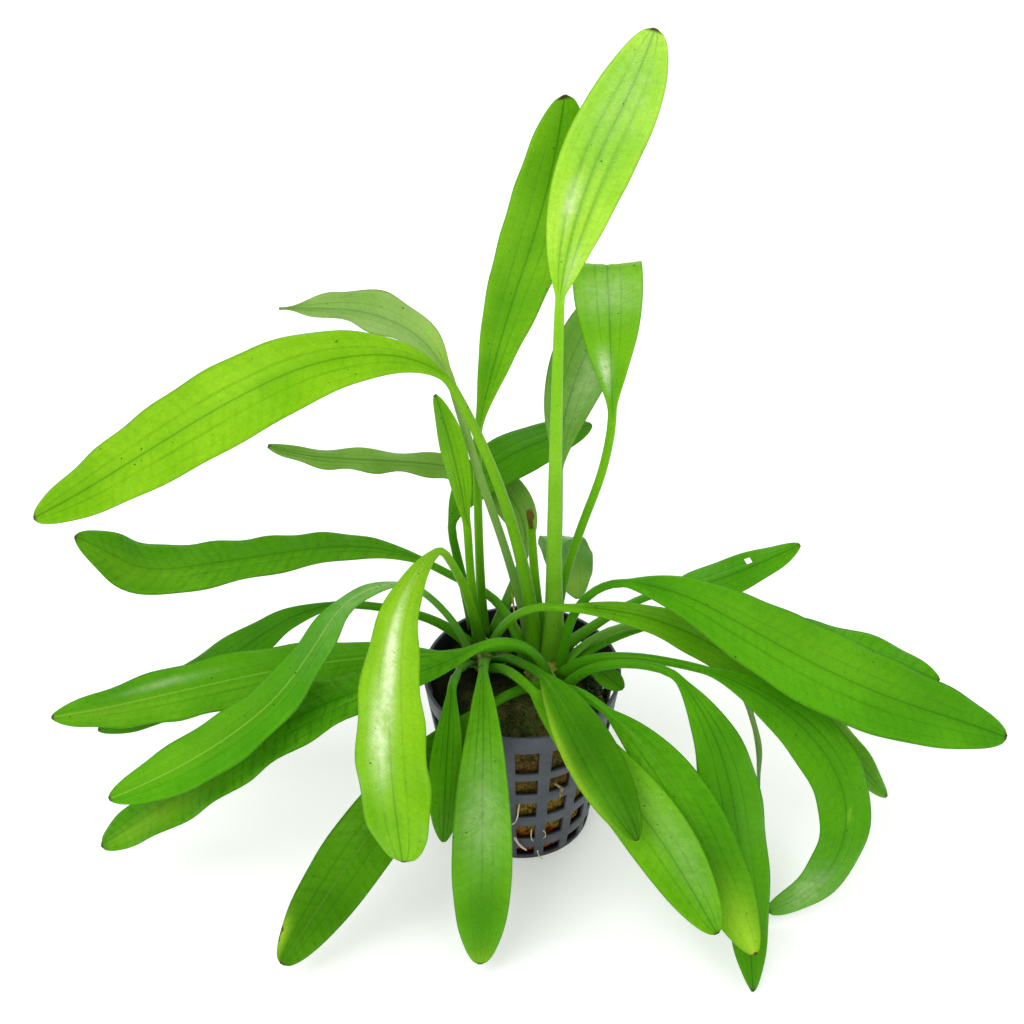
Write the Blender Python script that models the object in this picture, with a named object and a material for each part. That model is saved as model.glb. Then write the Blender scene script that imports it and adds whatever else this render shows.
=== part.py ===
"""Potted echinodorus: a broad-leaved aquarium plant in a standard 5 cm net pot.

The origin is the middle of the pot's underside, on the surface that it stands on. Z is up and
the photograph was taken from the -Y side. Sizes below are in millimetres and one factor makes
them metres.
"""

import math

import bpy
import numpy as np

MM = 0.001

# Net pot: a tapered cup of sixteen ribs with five rows of square holes.
POT_HEIGHT = 50.0
RIM_RADIUS = 25.0
BASE_RADIUS = 17.8
WALL = 1.0
FLOOR = 1.2
COLUMNS = 16
HOLE_SPAN = 14.4
FIRST_HOLE = -3.9
HOLE_ROWS = [(44.0, 35.8), (33.0, 27.4), (23.6, 17.9), (14.2, 8.6), (4.8, FLOOR)]
FLOOR_RING = 14.0
FLOOR_DISC = 7.0

# Growing medium: one block of mineral wool, a little clear of the wall.
MEDIUM_LEVELS = (6.0, 20.0, 34.0, 45.0)
MEDIUM_TOP = 50.6
MEDIUM_GAP = 1.0
MEDIUM_SIDES = 20
MEDIUM_LUMPS = 0.03
MOUND = ((21.5, 0.45), (15.5, 0.8), (7.5, 1.0))

# Crowns: the two short stems that the leaf stalks come from, just clear of the medium.
CROWN_GAP = 0.3
CROWN_RADIUS = 6.5
CROWN_HEIGHT = 2.2
CROWN_SIDES = 12
CROWNS = {"crown_main": (7.0, -2.5), "crown_side": (-9.5, 5.0)}

# Leaves: the stalk and the blade of each leaf are one piece.
STALK_WIDTH = 2.1
STALK_THICK = 1.7
BLADE_RIB = 0.8
BLADE_EDGE = 0.4
TIP_WIDTH = 0.7
FLATTENS_BY = 0.12
STALK_SPACING = 14.0
BLADE_SHARES = (0.0, 0.06, 0.14, 0.24, 0.34, 0.44, 0.54, 0.64, 0.74, 0.84, 0.92, 0.97, 0.99, 1.0)
FINE_STEPS = 120

COLOURS = {
    "net_pot": (0.075, 0.085, 0.115),
    "growing_medium": (0.16, 0.10, 0.03),
    "crown": (0.22, 0.16, 0.06),
    "bright": (0.22, 0.47, 0.02),
    "mid": (0.12, 0.34, 0.02),
    "dark": (0.05, 0.19, 0.01),
    "grey": (0.16, 0.32, 0.10),
    "dry": (0.35, 0.22, 0.05),
}
ROUGHNESS = {"net_pot": 0.45, "growing_medium": 0.95, "crown": 0.7}

TO_VIEWER = (0, -1, 0.4)
UPWARD = (0, -0.4, 0.9)

# Each leaf has a root point, and then a stalk and a blade, each with its length and the headings
# that it turns through evenly from its start to its end. A heading is a bearing (0 is +X, 90 is
# +Y, away from the viewer) and a rise over the horizontal, in degrees. The rest says how wide the
# blade is, where along it is widest, how slender its neck and how blunt its tip is (a smaller
# power is blunter), which way its upper side looks at the foot and at the tip and between which
# shares of the blade it turns from one to the other, how far its edges rise over the midrib for
# each millimetre of half width, and how stout the stalk is at its root.
LEAVES = {
    "leaf_tall_right": dict(
        colour="bright", root=(8, 1, 54), face=TO_VIEWER, cup=0.15,
        stalk=(106, [(115, 88), (-80, 86)]), girth=2.1,
        blade=(74, [(-58, 81), (-46, 73), (-40, 65), (-50, 70)]),
        width=15.5, widest=0.58, neck=0.7, tip=0.42,
    ),
    "leaf_tall_left": dict(
        colour="mid", root=(-10, 13, 52), face=(0.2, -1, 0.3), cup=0.15,
        stalk=(60, [(120, 85), (70, 88)]),
        blade=(102, [(-18, 79), (-42, 71), (-76, 71)]), width=15.5, widest=0.64, tip=0.42,
    ),
    "leaf_folded_back": dict(
        colour="mid", root=(8.3, 7, 54), face=(0, -1, 0.2), face_end=(0, 1, 0.6), cup=0.1,
        stalk=(66, [(60, 88), (20, 76), (18, 71), (55, 84)]),
        blade=(66, [(250, 84), (250, 80), (250, 80), (252, 76), (80, -66), (78, -64)]),
        width=15.5, widest=0.66, neck=1.15, turn=(0.62, 0.76),
    ),
    "leaf_upright_back": dict(
        colour="grey", root=(8, 9, 52), face=(-0.2, -1, 0.4), cup=0.1,
        stalk=(46, [(80, 74), (95, 80)]),
        blade=(53, [(90, 60), (42, 62), (5, 56)]), width=15.5, widest=0.6,
    ),
    "leaf_upper_left_front": dict(
        colour="bright", root=(3.4, 2, 54), face=(0.4, -0.7, 0.8), face_end=(0, -0.6, 0.8), cup=-0.1,
        stalk=(87, [(150, 86), (180, 76), (205, 66)]),
        blade=(109, [(205, 55), (200, 10), (196, -20), (190, -31), (184, -34), (180, -31)]),
        width=18, widest=0.52, tip=0.48, girth=1.7,
    ),
    "leaf_upper_left_back": dict(
        colour="grey", root=(2, 6, 54), face=(0.2, 1, 0), cup=0.1,
        stalk=(78, [(140, 76), (160, 72), (155, 76)]),
        blade=(53, [(139, 55), (142, 2), (152, -14), (162, -15)]), width=12.5, widest=0.36, tip=1.15,
    ),
    "leaf_small_upright": dict(
        colour="dark", root=(-11.5, 9, 54), face=(0.7, -1, 0.1), cup=0.5,
        stalk=(34, [(180, 85), (140, 88)]),
        blade=(40, [(170, 84), (186, 76)]), width=6.8, widest=0.55,
    ),
    "leaf_back_right": dict(
        colour="dark", root=(-13, 19, 51), face=(0, -0.3, 1), cup=-0.1,
        stalk=(25, [(124, 65), (124, 70)]),
        blade=(48, [(70, 58), (32, 26), (24, 8), (20, 6)]), width=14, widest=0.5,
    ),
    "leaf_back_left": dict(
        colour="grey", root=(-6, 15, 53), face=(0, -0.3, 1), cup=-0.1,
        stalk=(18, [(58, 47)]),
        blade=(86, [(75, 48), (130, 35), (158, 0), (162, -8), (165, -8), (168, -4), (172, 20)]),
        width=11, widest=0.2, tip=0.5, waist=0.3,
    ),
    "leaf_back_hanging": dict(
        colour="mid", root=(7, 14, 52), face=(0, 0.3, 1), face_end=(0, 1, 0.2), cup=-0.1,
        stalk=(19, [(88, 42), (85, 16)]),
        blade=(58, [(88, 10), (75, -50), (70, -66), (60, -75)]), width=14, widest=0.5,
    ),
    "leaf_left_kinked": dict(
        colour="mid", root=(0, 4, 54), face=UPWARD, cup=-0.1,
        stalk=(34, [(112, 30), (120, 12), (165, 18), (165, 26)]),
        blade=(98, [(160, 15), (168, 2), (175, -11), (178, -13), (180, -11), (182, -8), (195, 46),
                     (186, 36)]),
        width=15, widest=0.78, neck=0.85, waist=0.1,
    ),
    "leaf_left_behind": dict(
        colour="dark", root=(-14, 6, 54), face=UPWARD, cup=-0.1,
        stalk=(34, [(180, 52), (176, 14), (174, -4)]),
        blade=(79, [(176, -10), (182, -38), (186, -40), (184, -32), (182, -24)]),
        width=12.5, widest=0.6,
    ),
    "leaf_left_long": dict(
        colour="mid", root=(4, -3, 54), face=UPWARD, cup=-0.1,
        stalk=(28, [(200, 85), (195, 40), (180, -10), (178, -14), (180, -14)]),
        blade=(101, [(180, 1), (183, -7), (184, -13), (183, -15), (180, -12)]),
        width=15, widest=0.6, neck=0.7,
    ),
    "leaf_left_twisted": dict(
        colour="mid", root=(-13, 2, 54), face=(0, 0.3, 1), face_end=(0, -0.7, 0.8), cup=-0.1,
        stalk=(28, [(190, 74), (200, 62), (215, 52)]),
        blade=(100, [(215, 50), (212, 5), (222, -45), (215, -45), (202, -34), (194, -30),
                     (186, -29), (182, -27)]),
        width=13.5, widest=0.7,
    ),
    "leaf_left_broad": dict(
        colour="mid", root=(6, -7, 54), face=UPWARD, cup=-0.1,
        stalk=(26, [(205, 82), (208, 50), (205, 4)]),
        blade=(112, [(198, -22), (190, -12), (190, -25), (190, -37), (188, -38), (186, -36)]),
        width=15, widest=0.62, neck=0.8, tip=0.4,
    ),
    "leaf_front_left_bright": dict(
        colour="bright", root=(-10.5, 5.5, 54), face=(-0.3, -1, 0.4), cup=-0.1,
        stalk=(47, [(240, 76), (245, 68), (240, 58)]),
        blade=(84, [(240, 20), (245, -20), (259, -45), (269, -60), (276, -70), (292, -76),
                    (300, -80)]),
        width=17.5, widest=0.74, tip=0.36,
    ),
    "leaf_front_left_low": dict(
        colour="mid", root=(7, -10, 54), face=(-0.3, -1, 0.5), cup=-0.1,
        stalk=(16, [(205, 26), (214, 8), (216, -6)]),
        blade=(83, [(215, -17), (220, -33), (220, -43), (216, -50)]),
        width=16, widest=0.6, neck=0.85, tip=0.45,
    ),
    "leaf_front_centre": dict(
        colour="mid", root=(-9, -2, 55), face=(0, -1, 0.4), cup=-0.1,
        stalk=(12, [(265, 40), (270, 30)]),
        blade=(81, [(270, 22), (272, -20), (268, -48), (270, -62), (268, -70), (266, -74),
                    (262, -76)]),
        width=14.5, widest=0.66, tip=0.45,
    ),
    "leaf_front_small": dict(
        colour="dark", root=(-13.7, -2, 54), face=(-0.2, -1, 0.4), cup=-0.1,
        stalk=(18, [(259, 40), (259, 12)]),
        blade=(41, [(267, -4), (266, -42), (263, -66), (264, -78)]), width=8.5, widest=0.6,
    ),
    "leaf_right_big": dict(
        colour="bright", root=(10, -2.8, 54), face=(0.1, -0.5, 0.9), cup=-0.1,
        stalk=(37, [(100, 88), (0, 78), (-20, 56), (-35, 26)]),
        blade=(104, [(-14, 8), (-12, -26), (-10, -29), (-6, -25), (-2, -20), (0, -26)]),
        width=21, widest=0.58, neck=0.75, tip=0.5,
    ),
    "leaf_right_under": dict(
        colour="dark", root=(-8, 3, 54), face=UPWARD, cup=-0.1,
        stalk=(33, [(-50, 74), (-40, 61), (-28, 42), (-18, 2)]),
        blade=(104, [(6, -2), (0, -20), (-6, -35), (-12, -39), (-12, -46), (-5, -56)]),
        width=12.5, widest=0.62, neck=0.75,
    ),
    "leaf_right_holed": dict(
        colour="mid", root=(12, 6, 54), face=(0, -0.3, 1), cup=-0.1,
        stalk=(28, [(38, 12), (36, 8), (30, -4)]),
        blade=(43, [(28, -16), (26, -2), (22, 11), (18, 20)]), width=11, widest=0.45,
    ),
    "leaf_right_back": dict(
        colour="mid", root=(14, 1, 54), face=(0, -0.3, 1), cup=-0.1,
        stalk=(25, [(32, 12), (28, 2), (12, 6)]),
        blade=(77, [(14, 2), (7, -24), (1, -18), (-6, -11), (-6, -29)]), width=15, widest=0.6,
    ),
    "leaf_right_edge_on": dict(
        colour="dark", root=(12, -1, 55), face=(0, 0.5, 1), face_end=(1, 0.2, 0.3), cup=0.1,
        stalk=(24, [(40, 30), (20, 12), (0, -20)]),
        blade=(60, [(-5, -10), (-15, -36), (-30, -60), (-60, -72), (-80, -82)]),
        width=9, widest=0.45, tip=0.9,
    ),
    "leaf_right_curled": dict(
        colour="mid", root=(11, -6, 55), face=(0.2, -0.7, 0.7), face_end=(0.2, -1, 0.4), cup=-0.1,
        stalk=(36, [(-18, 55), (-16, 20), (-14, 2), (-14, -6)]),
        blade=(91, [(-14, -8), (-14, -26), (-18, -38), (-28, -50), (-58, -66), (-130, -68),
                    (-160, -40), (-172, -16)]),
        width=14, widest=0.45, tip=0.42,
    ),
    "leaf_right_front": dict(
        colour="bright", root=(11, -10, 54), face=(0.4, -0.9, 0.5), cup=-0.1,
        stalk=(31, [(-20, 62), (-16, 22), (-22, -8)]),
        blade=(84, [(-32, -38), (-45, -48), (-58, -62), (-62, -70), (-70, -60), (-90, -30),
                    (-90, -18)]),
        width=16, widest=0.45,
    ),
    "leaf_front_right_top": dict(
        colour="dark", root=(-6, -2, 55), face=(0.2, -1, 0.5), cup=-0.1,
        stalk=(20, [(-70, 54), (-50, 20), (-45, 4)]),
        blade=(49, [(-62, 0), (-64, -14), (-62, -20), (-58, -30)]), width=13, widest=0.55, neck=0.65,
    ),
    "leaf_front_right_mid": dict(
        colour="bright", root=(-7, -5, 55), face=(0.2, -1, 0.5), cup=-0.1,
        stalk=(18, [(-62, 45), (-55, 18), (-52, -8)]),
        blade=(73, [(-38, -27), (-46, -23), (-50, -17), (-50, -36), (-41, -50)]),
        width=15.5, widest=0.6, neck=0.6, tip=0.5,
    ),
    "leaf_front_right_low": dict(
        colour="mid", root=(8, -13, 54), face=(0.3, -1, 0.5), cup=-0.1,
        stalk=(19, [(-55, 65), (-45, 15), (-30, -28)]),
        blade=(69, [(-32, -22), (-47, -27), (-52, -44), (-52, -48), (-50, -52)]),
        width=15, widest=0.58, neck=0.7,
    ),
    "leaf_on_the_rim": dict(
        colour="dark", root=(13.5, -3.4, 55), face=(0.1, -0.6, 0.8), cup=-0.1,
        stalk=(3, [(-30, 20)]),
        blade=(11, [(-32, 2), (-30, -18), (-20, -36)]), width=5.5, widest=0.6,
    ),
    "stalk_cut_off": dict(
        colour="dry", root=(5, 8, 53), face=TO_VIEWER, cup=0,
        stalk=(38, [(125, 78), (115, 84)]), blade=None,
    ),
}


def clear_scene():
    for item in list(bpy.data.objects):
        bpy.data.objects.remove(item, do_unlink=True)


def material(name, colour, roughness, metallic=0.0):
    made = bpy.data.materials.new(name)
    made.use_nodes = True
    shader = made.node_tree.nodes["Principled BSDF"]
    shader.inputs["Base Color"].default_value = (*colour, 1.0)
    shader.inputs["Roughness"].default_value = roughness
    shader.inputs["Metallic"].default_value = metallic
    return made


def add_piece(name, points, faces, colour):
    """One named solid from points in millimetres, with its own plain material."""
    mesh = bpy.data.meshes.new(name)
    scaled = [tuple(float(value) * MM for value in point) for point in points]
    mesh.from_pydata(scaled, [], faces)
    mesh.validate()
    mesh.update()
    piece = bpy.data.objects.new(name, mesh)
    bpy.context.scene.collection.objects.link(piece)
    piece.data.materials.append(material(name, COLOURS[colour], ROUGHNESS.get(colour, 0.5)))
    return piece


def pot_stations():
    """Pairs of an outer and an inner (radius, height), down the wall and in along the floor.

    The third value says whether the band that starts there has the pot's holes.
    """
    slope = (RIM_RADIUS - BASE_RADIUS) / POT_HEIGHT
    stations = [((RIM_RADIUS, POT_HEIGHT), (RIM_RADIUS - WALL, POT_HEIGHT), False)]
    for top, bottom in HOLE_ROWS:
        for height, holes in ((top, True), (bottom, False)):
            radius = BASE_RADIUS + slope * height
            stations.append(((radius, height), (radius - WALL, height), holes))
    stations.append(((BASE_RADIUS, 0), (BASE_RADIUS - 2 * WALL, FLOOR), False))
    stations.append(((FLOOR_RING, 0), (FLOOR_RING, FLOOR), True))
    stations.append(((FLOOR_DISC, 0), (FLOOR_DISC, FLOOR), False))
    return stations


def make_pot():
    """Bands of cells from the rim to the floor's middle, where every other cell may be a hole."""
    stations = pot_stations()
    angles = []
    for column in range(COLUMNS):
        start = FIRST_HOLE + column * 360 / COLUMNS
        angles += [math.radians(start), math.radians(start + HOLE_SPAN)]
    around = len(angles)
    last = len(stations) - 1
    points = []
    for outer, inner, _ in stations:
        for radius, height in (outer, inner):
            points += [(radius * math.sin(a), -radius * math.cos(a), height) for a in angles]

    def at(station, side, step):
        return (2 * station + side) * around + step % around

    def is_open(band, step):
        inside = 0 <= band < last
        return not inside or (stations[band][2] and step % 2 == 0)

    faces = []
    for high in range(last):
        low = high + 1
        for step in range(around):
            if is_open(high, step):
                continue
            after = step + 1
            faces.append([at(low, 0, step), at(low, 0, after), at(high, 0, after), at(high, 0, step)])
            faces.append([at(high, 1, step), at(high, 1, after), at(low, 1, after), at(low, 1, step)])
            if is_open(high - 1, step):
                faces.append([at(high, 0, step), at(high, 0, after), at(high, 1, after), at(high, 1, step)])
            if is_open(low, step) and low < last:
                faces.append([at(low, 1, step), at(low, 1, after), at(low, 0, after), at(low, 0, step)])
            if is_open(high, step - 1):
                faces.append([at(high, 0, step), at(high, 1, step), at(low, 1, step), at(low, 0, step)])
            if is_open(high, after):
                faces.append([at(low, 0, after), at(low, 1, after), at(high, 1, after), at(high, 0, after)])
    for step in range(0, around, 2):
        faces.append([at(last, 0, step), at(last, 0, step + 1), at(last, 1, step + 1), at(last, 1, step)])
    faces.append([at(last, 0, step) for step in reversed(range(around))])
    faces.append([at(last, 1, step) for step in range(around)])
    return add_piece("net_pot", points, faces, "net_pot")


def rings_to_solid(rings):
    """Faces between rings of points and a flat face over the first and the last of them."""
    count = len(rings[0])
    points = [point for ring in rings for point in ring]
    faces = [list(reversed(range(count)))]
    for level in range(len(rings) - 1):
        for step in range(count):
            after = (step + 1) % count
            low, high = level * count, (level + 1) * count
            faces.append([low + step, low + after, high + after, high + step])
    faces.append([(len(rings) - 1) * count + step for step in range(count)])
    return points, faces


def circle(radius, height, sides, centre=(0, 0), lumps=0.0):
    """A ring of points round a centre, with a few shallow lumps where it is asked for."""
    ring = []
    for step in range(sides):
        angle = 2 * math.pi * step / sides
        reach = radius * (1 - lumps * (0.5 + 0.5 * math.sin(3 * angle + height)))
        ring.append((centre[0] + reach * math.cos(angle), centre[1] + reach * math.sin(angle), height))
    return ring


def make_medium():
    """The block of mineral wool: a cone inside the pot with a low mound on top."""
    slope = (RIM_RADIUS - BASE_RADIUS) / POT_HEIGHT
    rings = []
    for height in MEDIUM_LEVELS:
        inside = BASE_RADIUS + slope * height - WALL - MEDIUM_GAP
        rings.append(circle(inside, height, MEDIUM_SIDES, lumps=MEDIUM_LUMPS))
    edge = MEDIUM_LEVELS[-1]
    for radius, lift in MOUND:
        rings.append(circle(radius, edge + lift * (MEDIUM_TOP - edge), MEDIUM_SIDES))
    points, faces = rings_to_solid(rings)
    return add_piece("growing_medium", points, faces, "growing_medium")


def make_crown(name, centre):
    """A short stem stump on the medium, below the leaf stalks."""
    foot = MEDIUM_TOP + CROWN_GAP
    rings = [
        circle(CROWN_RADIUS, foot, CROWN_SIDES, centre),
        circle(0.85 * CROWN_RADIUS, foot + 0.7 * CROWN_HEIGHT, CROWN_SIDES, centre),
        circle(0.5 * CROWN_RADIUS, foot + CROWN_HEIGHT, CROWN_SIDES, centre),
    ]
    points, faces = rings_to_solid(rings)
    return add_piece(name, points, faces, "crown")


def unit(vector):
    vector = np.asarray(vector, float)
    return vector / np.linalg.norm(vector)


def heading(bearing, rise):
    """The unit vector of a bearing and a rise in degrees."""
    b, r = math.radians(bearing), math.radians(rise)
    return np.array([math.cos(b) * math.cos(r), math.sin(b) * math.cos(r), math.sin(r)])


def walk(start, length, headings, shares):
    """Points and directions at shares of a line that turns evenly from heading to heading."""
    keys = np.array([heading(*each) for each in headings])
    fine = np.linspace(0, 1, FINE_STEPS + 1)
    places = np.linspace(0, 1, len(keys))
    turned = np.column_stack([np.interp(fine, places, keys[:, axis]) for axis in range(3)])
    turned /= np.linalg.norm(turned, axis=1)[:, None]
    strides = (turned[1:] + turned[:-1]) / 2 * length / FINE_STEPS
    path = np.vstack([start, start + np.cumsum(strides, axis=0)])
    points = np.column_stack([np.interp(shares, fine, path[:, axis]) for axis in range(3)])
    ways = np.column_stack([np.interp(shares, fine, turned[:, axis]) for axis in range(3)])
    return points, ways


def outline(share, widest, neck, tip, waist):
    """The blade's width at a share of its length, as a share of its greatest width."""
    if share < widest:
        full = math.sin(math.pi / 2 * share / widest) ** neck
    else:
        full = max(0.0, math.cos(math.pi / 2 * (share - widest) / (1 - widest))) ** tip
    return full * (1 - waist * math.exp(-((share - 0.5) / 0.2) ** 2))


def section(centre, way, looks, half, thick, rim, lift):
    """Six points round the midrib: two on each edge and one above and below the middle."""
    up = unit(looks - way * np.dot(looks, way))
    side = np.cross(up, way)
    left, right = centre - half * side, centre + half * side
    return [
        left + (lift + rim / 2) * up,
        left + (lift - rim / 2) * up,
        centre - thick / 2 * up,
        right + (lift - rim / 2) * up,
        right + (lift + rim / 2) * up,
        centre + thick / 2 * up,
    ]


def make_leaf(name, colour, root, stalk, blade, face, cup, width=0.0, face_end=None,
              widest=0.6, neck=1.0, tip=0.55, waist=0.0, turn=(0.0, 1.0), girth=1.0):
    """A stalk, and a blade unless it is cut off, as one thin solid."""
    stalk_length, stalk_headings = stalk
    steps = max(2, round(stalk_length / STALK_SPACING))
    shares = np.linspace(0, 1, steps + 1)
    points, ways = walk(np.array(root, float), stalk_length, stalk_headings, shares)
    first, last = unit(face), unit(face_end or face)
    rings = []
    for share, point, way in zip(shares, points, ways):
        stout = girth + (1 - girth) * share
        half, thick = STALK_WIDTH / 2 * stout, STALK_THICK * stout
        rings.append(section(point, unit(way), first, half, thick, thick / 2, 0.0))
    if blade:
        blade_length, blade_headings = blade
        foot = points[-1]
        blade_points, blade_ways = walk(foot, blade_length, blade_headings, BLADE_SHARES)
        rings.pop()
        for share, point, way in zip(BLADE_SHARES, blade_points, blade_ways):
            flat = min(1.0, share / FLATTENS_BY)
            slim = STALK_WIDTH * (1 - share) + TIP_WIDTH * share
            half = max(width * outline(share, widest, neck, tip, waist), slim) / 2
            thick = STALK_THICK * (1 - flat) + (BLADE_RIB * (1 - share) + BLADE_EDGE * share) * flat
            rim = STALK_THICK / 2 * (1 - flat) + BLADE_EDGE * flat
            lift = cup * max(0.0, half - STALK_WIDTH / 2)
            turned = min(1.0, max(0.0, (share - turn[0]) / (turn[1] - turn[0])))
            looks = first * (1 - turned) + last * turned
            rings.append(section(point, unit(way), looks, half, thick, rim, lift))
    solid_points, faces = rings_to_solid(rings)
    return add_piece(name, solid_points, faces, colour)


def main():
    clear_scene()
    make_pot()
    make_medium()
    for name, centre in CROWNS.items():
        make_crown(name, centre)
    for name, leaf in LEAVES.items():
        make_leaf(name, **leaf)


main()
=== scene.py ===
"""Potted echinodorus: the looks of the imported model.

Every solid of the frame is replaced by a finer piece in the same place. A leaf is swept along the
same midrib as its solid, with a grooved upper side, veins and wavy edges. Sizes are in
millimetres, as in the part's source, and one factor makes them metres. Tones are linear.
"""

import math

import bpy
import numpy as np
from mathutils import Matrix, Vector, noise


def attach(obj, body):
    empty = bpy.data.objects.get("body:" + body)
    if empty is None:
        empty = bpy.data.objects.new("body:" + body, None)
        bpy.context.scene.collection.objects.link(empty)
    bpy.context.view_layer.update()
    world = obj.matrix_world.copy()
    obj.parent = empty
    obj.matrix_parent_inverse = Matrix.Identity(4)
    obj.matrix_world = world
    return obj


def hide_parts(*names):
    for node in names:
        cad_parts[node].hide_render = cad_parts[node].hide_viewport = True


MM = 0.001
PHOTO_SIDE = 1024

# Camera: it looks down at the middle of the pot's rim, then turns up until the pot is low in view.
VIEW_RISE = 42.4
VIEW_DISTANCE = 500.0
VIEW_TILT_UP = 4.56
VIEW_TURN = 0.29
VIEW_END = 50000.0
FOCAL_PIXELS = 1979.0
SENSOR = 36.0

# Light: a white sky and three soft lamps, each with a place in metres, a size and a power. They
# point at one place in the plant.
SKY = 0.62
LAMPS = {
    "key": ((-0.45, -0.55, 1.0), 0.8, 6.5),
    "fill": ((0.7, -0.6, 0.7), 0.9, 3.0),
    "back": ((0.1, 0.8, 0.8), 0.9, 3.0),
}
LAMPS_AIM = (0, 0, 0.08)
FLOOR_SIDE = 8000.0
FLOOR_GLOW = 0.3
FLOOR_TONES = ((0.86, 0.86, 0.86), (0.88, 0.88, 0.88))

# Net pot, as in the part's source. A hole row is a top and a bottom height.
POT_HEIGHT = 50.0
RIM_RADIUS = 25.0
BASE_RADIUS = 17.8
WALL = 1.0
FLOOR = 1.2
COLUMNS = 16
HOLE_SPAN = 14.4
FIRST_HOLE = -3.9
HOLE_ROWS = [(44.0, 35.8), (33.0, 27.4), (23.6, 17.9), (14.2, 8.6), (4.8, FLOOR)]
FLOOR_RING = 14.0
FLOOR_DISC = 7.0
SLOPE = (RIM_RADIUS - BASE_RADIUS) / POT_HEIGHT
POT_BEVEL = 0.28
BEVEL_ANGLE = 40
STRIP_STEPS = 4
DIRT_HEIGHT = 16.0
# The within and under tones are painted shade: inside the wall, and along the pot's foot.
POT = {
    "deep": (0.038, 0.044, 0.064), "light": (0.066, 0.074, 0.100), "dust": (0.10, 0.11, 0.10),
    "worn": (0.20, 0.22, 0.27), "dirt": (0.035, 0.032, 0.030), "within": (0.006, 0.007, 0.008),
    "under": (0.010, 0.010, 0.011),
}

# Growing medium, as in the part's source, and its lumps. A lump has a height, a size and a seed,
# and on the mound also how much of it there is at the edge. The steps are those round the plug, up
# its wall and in over its top. The hollow is where the wool stops short of the rim.
MEDIUM_FOOT = 1.6
MEDIUM_EDGE = 45.0
MEDIUM_TOP = 50.6
WOOL_GAP = 0.6
WOOL_STEPS = (180, 60, 34)
WALL_LUMPS = [(0.55, 2.2, 0.0), (0.35, 0.9, 7.0)]
MOUND_LUMPS = [(0.55, 3.0, 0.0, 0.0), (0.3, 1.1, 3.0, 1.0)]
MOUND_RISE = 2.2
MOUND_POWER = 0.8
HOLLOW_DEPTH = 9.0
HOLLOW_WAY = (0.97, 0.24)

# The wool's tones, and where they fade in: between two heights, or for the last two spans between
# two depths or two places from left to right. Noise moves the levels and the front's edge by up to
# half of their wander. The soil lies round one place at the back right. Away from the front, the
# wall under the rim and the soil, the top has painted shade, nearly black.
# Some of these tones are painted shade: the near black of the top away from the front, the foot and the
# pits.
WOOL = {
    "olive": (0.045, 0.055, 0.010), "straw": (0.19, 0.14, 0.04), "moss": (0.055, 0.105, 0.014),
    "soil": (0.20, 0.075, 0.02), "shade tone": (0.03, 0.035, 0.01), "shade": (0.2, 0.25, 0.2),
    "rust": (0.26, 0.13, 0.028), "deep ochre": (0.17, 0.10, 0.010), "ochre": (0.46, 0.31, 0.045),
    "deep ember": (0.40, 0.03, 0.006), "ember": (0.90, 0.17, 0.015), "red": (0.20, 0.012, 0.003),
    "foot": (0.006, 0.004, 0.003), "thread": (0.50, 0.42, 0.20), "pit": (0.010, 0.009, 0.004),
}
WOOL_SPANS = {
    "top": (24, 32), "red": (10.5, 8), "ember": (8, 5), "foot": (2.3, 1.7), "rust": (45, 40),
    "under the rim": (46, 42), "front": (-4, -11), "not at the left": (-17, -9),
}
LEVEL_WANDER = 12.0
FRONT_WANDER = 20.0
SOIL_PLACE = 12.0
SOIL_REACH = 9.0

# Crowns, as in the part's source. The steps are those round a stump and its rings.
CROWN_RADIUS = 6.5
CROWN_HEIGHT = 2.2
CROWN_SUNK = 0.6
CROWN_OVER = 0.8
CROWN_TAPER = 0.55
CROWN_STEPS = (48, 12)
CROWNS = {"crown_main": (7.0, -2.5), "crown_side": (-9.5, 5.0)}

# Stems, roots and bits of one plain material each: a light and a deep tone, how fine they mix, how
# rough it is, and how the mixture is stretched.
PLAIN = {
    "crown": ((0.30, 0.34, 0.06), (0.07, 0.10, 0.02), 500, 0.6, (1, 1, 0.2)),
    "root_white": ((0.80, 0.76, 0.60), (0.50, 0.42, 0.26), 600, 0.5, None),
    "root_brown": ((0.42, 0.33, 0.17), (0.14, 0.09, 0.035), 700, 0.7, None),
    "stalk_dead": ((0.20, 0.11, 0.035), (0.05, 0.022, 0.008), 500, 0.7, (0.3, 1, 1)),
    "sheath_withered": ((0.55, 0.46, 0.05), (0.30, 0.30, 0.03), 400, 0.6, None),
    "moss": ((0.055, 0.14, 0.010), (0.012, 0.040, 0.004), 900, 0.8, None),
    "wool_fibres": ((0.34, 0.27, 0.11), (0.10, 0.085, 0.025), 900, 0.9, None),
}

# Leaves: the lengths and shares that all have in common, as in the part's source.
STALK_WIDTH = 2.1
STALK_THICK = 1.7
TIP_WIDTH = 0.7
RIB_THICK = 0.9
EDGE_THICK = 0.25
FLATTENS_BY = 0.12
FINE_STEP = 0.5
SOFTEN = 5.0
SUNK = 3.0
WAIST_PLACE = 0.5
WAIST_REACH = 0.2

# The finer shape: how many points go round a ring, how the stalk's foot widens, the veins' places
# and grooves, and the waves of the edges, which start and end between shares of the blade.
STALK_STEP = 3.0
FEWEST_RINGS = 4
BLADE_RINGS = 64
ACROSS = 17
AROUND = 2 * ACROSS
STALK_EDGE = 0.98
SHEATH = 0.9
SHEATH_REACH = 9.0
RIB_REACH = 0.8
RIB_ABOVE = 0.25
RIB_THINS = 0.6
GROOVE = 0.224
GROOVE_REACH = 0.35
VEINS = (0.36, 0.7)
VEIN_GROOVE = 0.08
VEIN_REACH = 0.05
CUP_POWER = 1.25
WAVE_LENGTH = 17.0
WAVE_PACES = (0.75, 1.25)
WAVE_POWER = 2.5
WAVES_START = (0.05, 0.3)
WAVES_END = (0.85, 1.0)
WAVES_SETTLE = 0.6
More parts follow.
